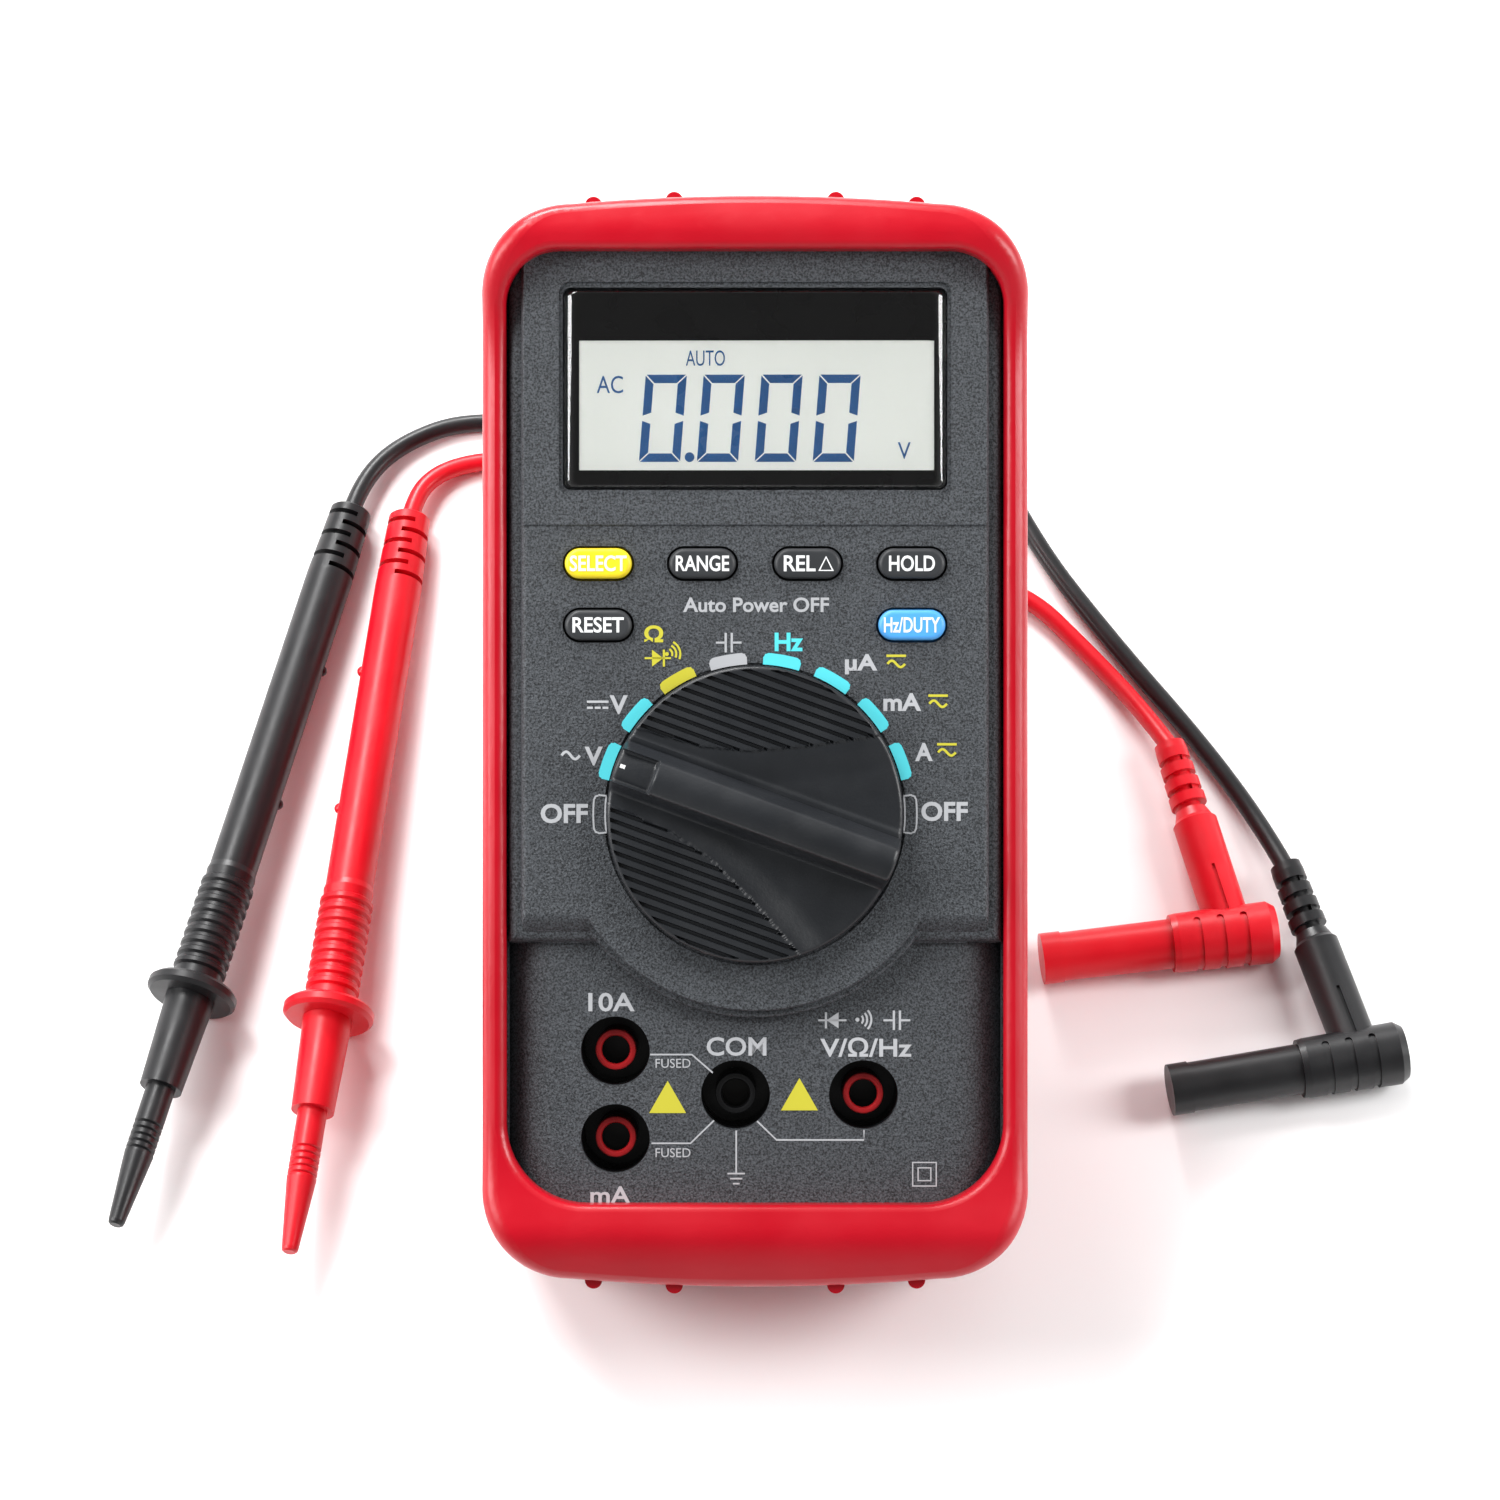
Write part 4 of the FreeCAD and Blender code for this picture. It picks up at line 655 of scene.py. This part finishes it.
def make_knob():
    rows = [k * 0.26 for k in range(24)]
    k = 0
    while GROOVE_START + k * GROOVE_PITCH < KNOB_R - 0.4:
        centre = GROOVE_START + k * GROOVE_PITCH
        rows += [centre + d for d in (-GROOVE_TOP, -GROOVE_FLOOR, GROOVE_FLOOR, GROOVE_TOP, 0.53, 0.91)]
        k += 1
    rows = sorted({round(r, 4) for r in rows if r < KNOB_R - 0.02} | {KNOB_R - 0.01})
    rows = [-r for r in rows[:0:-1]] + rows
    spin = Matrix.Translation((KNOB_X, KNOB_Y, 0.0)) @ Matrix.Rotation(POINTER - math.pi, 4, "Z")
    bm = bmesh.new()
    grid = []
    for v in rows:
        half = math.sqrt(KNOB_R ** 2 - v * v)
        line = []
        for i in range(ACROSS + 1):
            u = half * (2.0 * i / ACROSS - 1.0)
            line.append(bm.verts.new(spin @ Vector((u, v, knob_height(u, v)))))
        grid.append(line)
    for a, b in zip(grid, grid[1:]):
        for i in range(ACROSS):
            bm.faces.new((a[i], a[i + 1], b[i + 1], b[i]))
    rim = grid[0] + [line[-1] for line in grid[1:-1]] + grid[-1][::-1] + [line[0] for line in grid[-2:0:-1]]
    low = [bm.verts.new((p.co.x, p.co.y, KNOB_LOW)) for p in rim]
    n = len(rim)
    for i in range(n):
        bm.faces.new((rim[i], low[i], low[(i + 1) % n], rim[(i + 1) % n]))
    bm.faces.new(low)
    bmesh.ops.recalc_face_normals(bm, faces=bm.faces)
    knob = mesh_piece("knob_cap", bm, "knob", "selector")
    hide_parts("selector_knob")
    mark = Print("knob_mark", "ink_white", "selector")
    tile = turned([box_at(MARK_U + KNOB_X, KNOB_Y, 1.0, 0.55)], KNOB_X, KNOB_Y, -20.0)
    mark.shape(knob_height(MARK_U, 0.0) - 0.02, tile)
    mark.done()


# ------------------------------------------------------------------ window and jack rims
LENS_X, LENS_Y, LENS_LOW, LENS_TOP = 28.4, (37.5, 67.3), 34.1, 36.2
LENS_SIDE_ROUND, LENS_END_ROUND, LENS_FALL = 2.2, 0.8, 1.5


def outline(half_x, y0, y1, r, steps=8):
    points = []
    for cx, cy, start in ((half_x - r, y1 - r, 0), (-half_x + r, y1 - r, 90), (-half_x + r, y0 + r, 180),
                          (half_x - r, y0 + r, 270)):
        points += arc(cx, cy, r, start, start + 90, steps)
    return points


def loft(loops):
    """Closed solid through loops of points with the same count."""
    bm = bmesh.new()
    rings = [[bm.verts.new(p) for p in loop] for loop in loops]
    n = len(rings[0])
    for a, b in zip(rings, rings[1:]):
        for i in range(n):
            bm.faces.new((a[i], a[(i + 1) % n], b[(i + 1) % n], b[i]))
    bm.faces.new(rings[0][::-1])
    bm.faces.new(rings[-1])
    bmesh.ops.recalc_face_normals(bm, faces=bm.faces)
    return bm


def make_window():
    """The display window: flat, with its left and right edges rolled down more broadly than its ends."""
    loops = [[(x, y, LENS_LOW) for x, y in outline(LENS_X, *LENS_Y, 1.1)]]
    for k in range(9):
        t = math.radians(90.0 * k / 8)
        inset_x, inset_y = LENS_SIDE_ROUND * (1 - math.cos(t)), LENS_END_ROUND * (1 - math.cos(t))
        z = LENS_TOP - LENS_FALL * (1 - math.sin(t))
        points = outline(LENS_X - inset_x, LENS_Y[0] + inset_y, LENS_Y[1] - inset_y, 1.1)
        loops.append([(x, y, z) for x, y in points])
    window = mesh_piece("display_window", loft(loops), "window")
    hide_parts("display_lens")


RIM_STEPS = 48
JACK_POSTS = {"red": ((-20.8, -45.89), (-20.8, -58.91), (16.15, -52.4)), "black": ((-2.9, -52.4),)}


def make_jack_rims():
    """Rounded rims on top of the posts, round the way into each jack."""
    section = [(2.1, 27.6), (2.1, 28.5), (2.25, 28.75), (2.6, 28.85), (2.95, 28.75),
               (3.05, 28.45), (3.05, 27.9)]
    for colour, places in JACK_POSTS.items():
        bm = bmesh.new()
        for x, y in places:
            circles = [arc(x, y, r, 0, 360, RIM_STEPS)[:-1] for r, _ in section]
            rings = [[bm.verts.new((px, py, z)) for px, py in circle]
                     for circle, (_, z) in zip(circles, section)]
            for a, b in zip(rings, rings[1:] + rings[:1]):
                for i in range(RIM_STEPS):
                    after = (i + 1) % RIM_STEPS
                    bm.faces.new((a[i], a[after], b[after], b[i]))
        bmesh.ops.recalc_face_normals(bm, faces=bm.faces)
        mesh_piece("jack_rims_" + colour, bm, colour + "_gloss")


make_window()
make_jack_rims()
make_scale()
make_key_legends()
make_reading()
make_jack_legends()
make_knob()


# ------------------------------------------------------------------ bench and light
SKY = (0.85, 0.16)     # brightness of the studio walls, and of its ceiling over the meter's face
FADE = (0.35, 0.95)    # how squarely the face looks at a place in the sky where the one turns to the other


def make_stage():
    bpy.ops.mesh.primitive_plane_add(size=6.0)
    floor = bpy.context.object
    floor.name = "bench"
    m = Nodes("bench_paper", (0.96, 0.96, 0.96), 0.6)
    m.vary(m.noise(3.0, 2.0), "Fac", "Roughness", 0.55, 0.65)
    floor.data.materials.append(m.mat)
    world = bpy.data.worlds.new("studio")
    bpy.context.scene.world = world
    world.use_nodes = True
    tree = world.node_tree
    coords = tree.nodes.new("ShaderNodeTexCoord")
    facing = tree.nodes.new("ShaderNodeVectorMath")
    facing.operation = "DOT_PRODUCT"
    facing.inputs[1].default_value = (0.0, -math.sin(TILT), math.cos(TILT))
    fade = tree.nodes.new("ShaderNodeMapRange")
    limits = {"From Min": FADE[0], "From Max": FADE[1], "To Min": SKY[0], "To Max": SKY[1]}
    for key, value in limits.items():
        fade.inputs[key].default_value = value
    tree.links.new(coords.outputs["Generated"], facing.inputs[0])
    tree.links.new(facing.outputs["Value"], fade.inputs["Value"])
    tree.links.new(fade.outputs["Result"], tree.nodes["Background"].inputs["Strength"])
    tree.nodes["Background"].inputs["Color"].default_value = (1, 1, 1, 1)

    def area(name, place, target, size, power):
        data = bpy.data.lights.new(name, "AREA")
        data.shape = "RECTANGLE"
        data.size, data.size_y = size
        data.energy = power
        obj = bpy.data.objects.new(name, data)
        bpy.context.scene.collection.objects.link(obj)
        obj.location = place
        aim = Vector(target) - Vector(place)
        obj.rotation_euler = aim.to_track_quat("-Z", "Y").to_euler()

    area("key", (-0.42, 0.42, 0.80), (0, 0.02, 0.04), (0.28, 0.22), 5.0)
    area("back", (-0.20, 0.75, 0.50), (0, 0.02, 0.04), (0.35, 0.2), 8.0)
    area("left_strip", (-0.55, 0.0, 0.40), (0, 0.03, 0.07), (0.22, 0.45), 3.6)
    area("right_strip", (0.55, 0.0, 0.40), (0, 0.03, 0.07), (0.22, 0.45), 3.6)


make_stage()
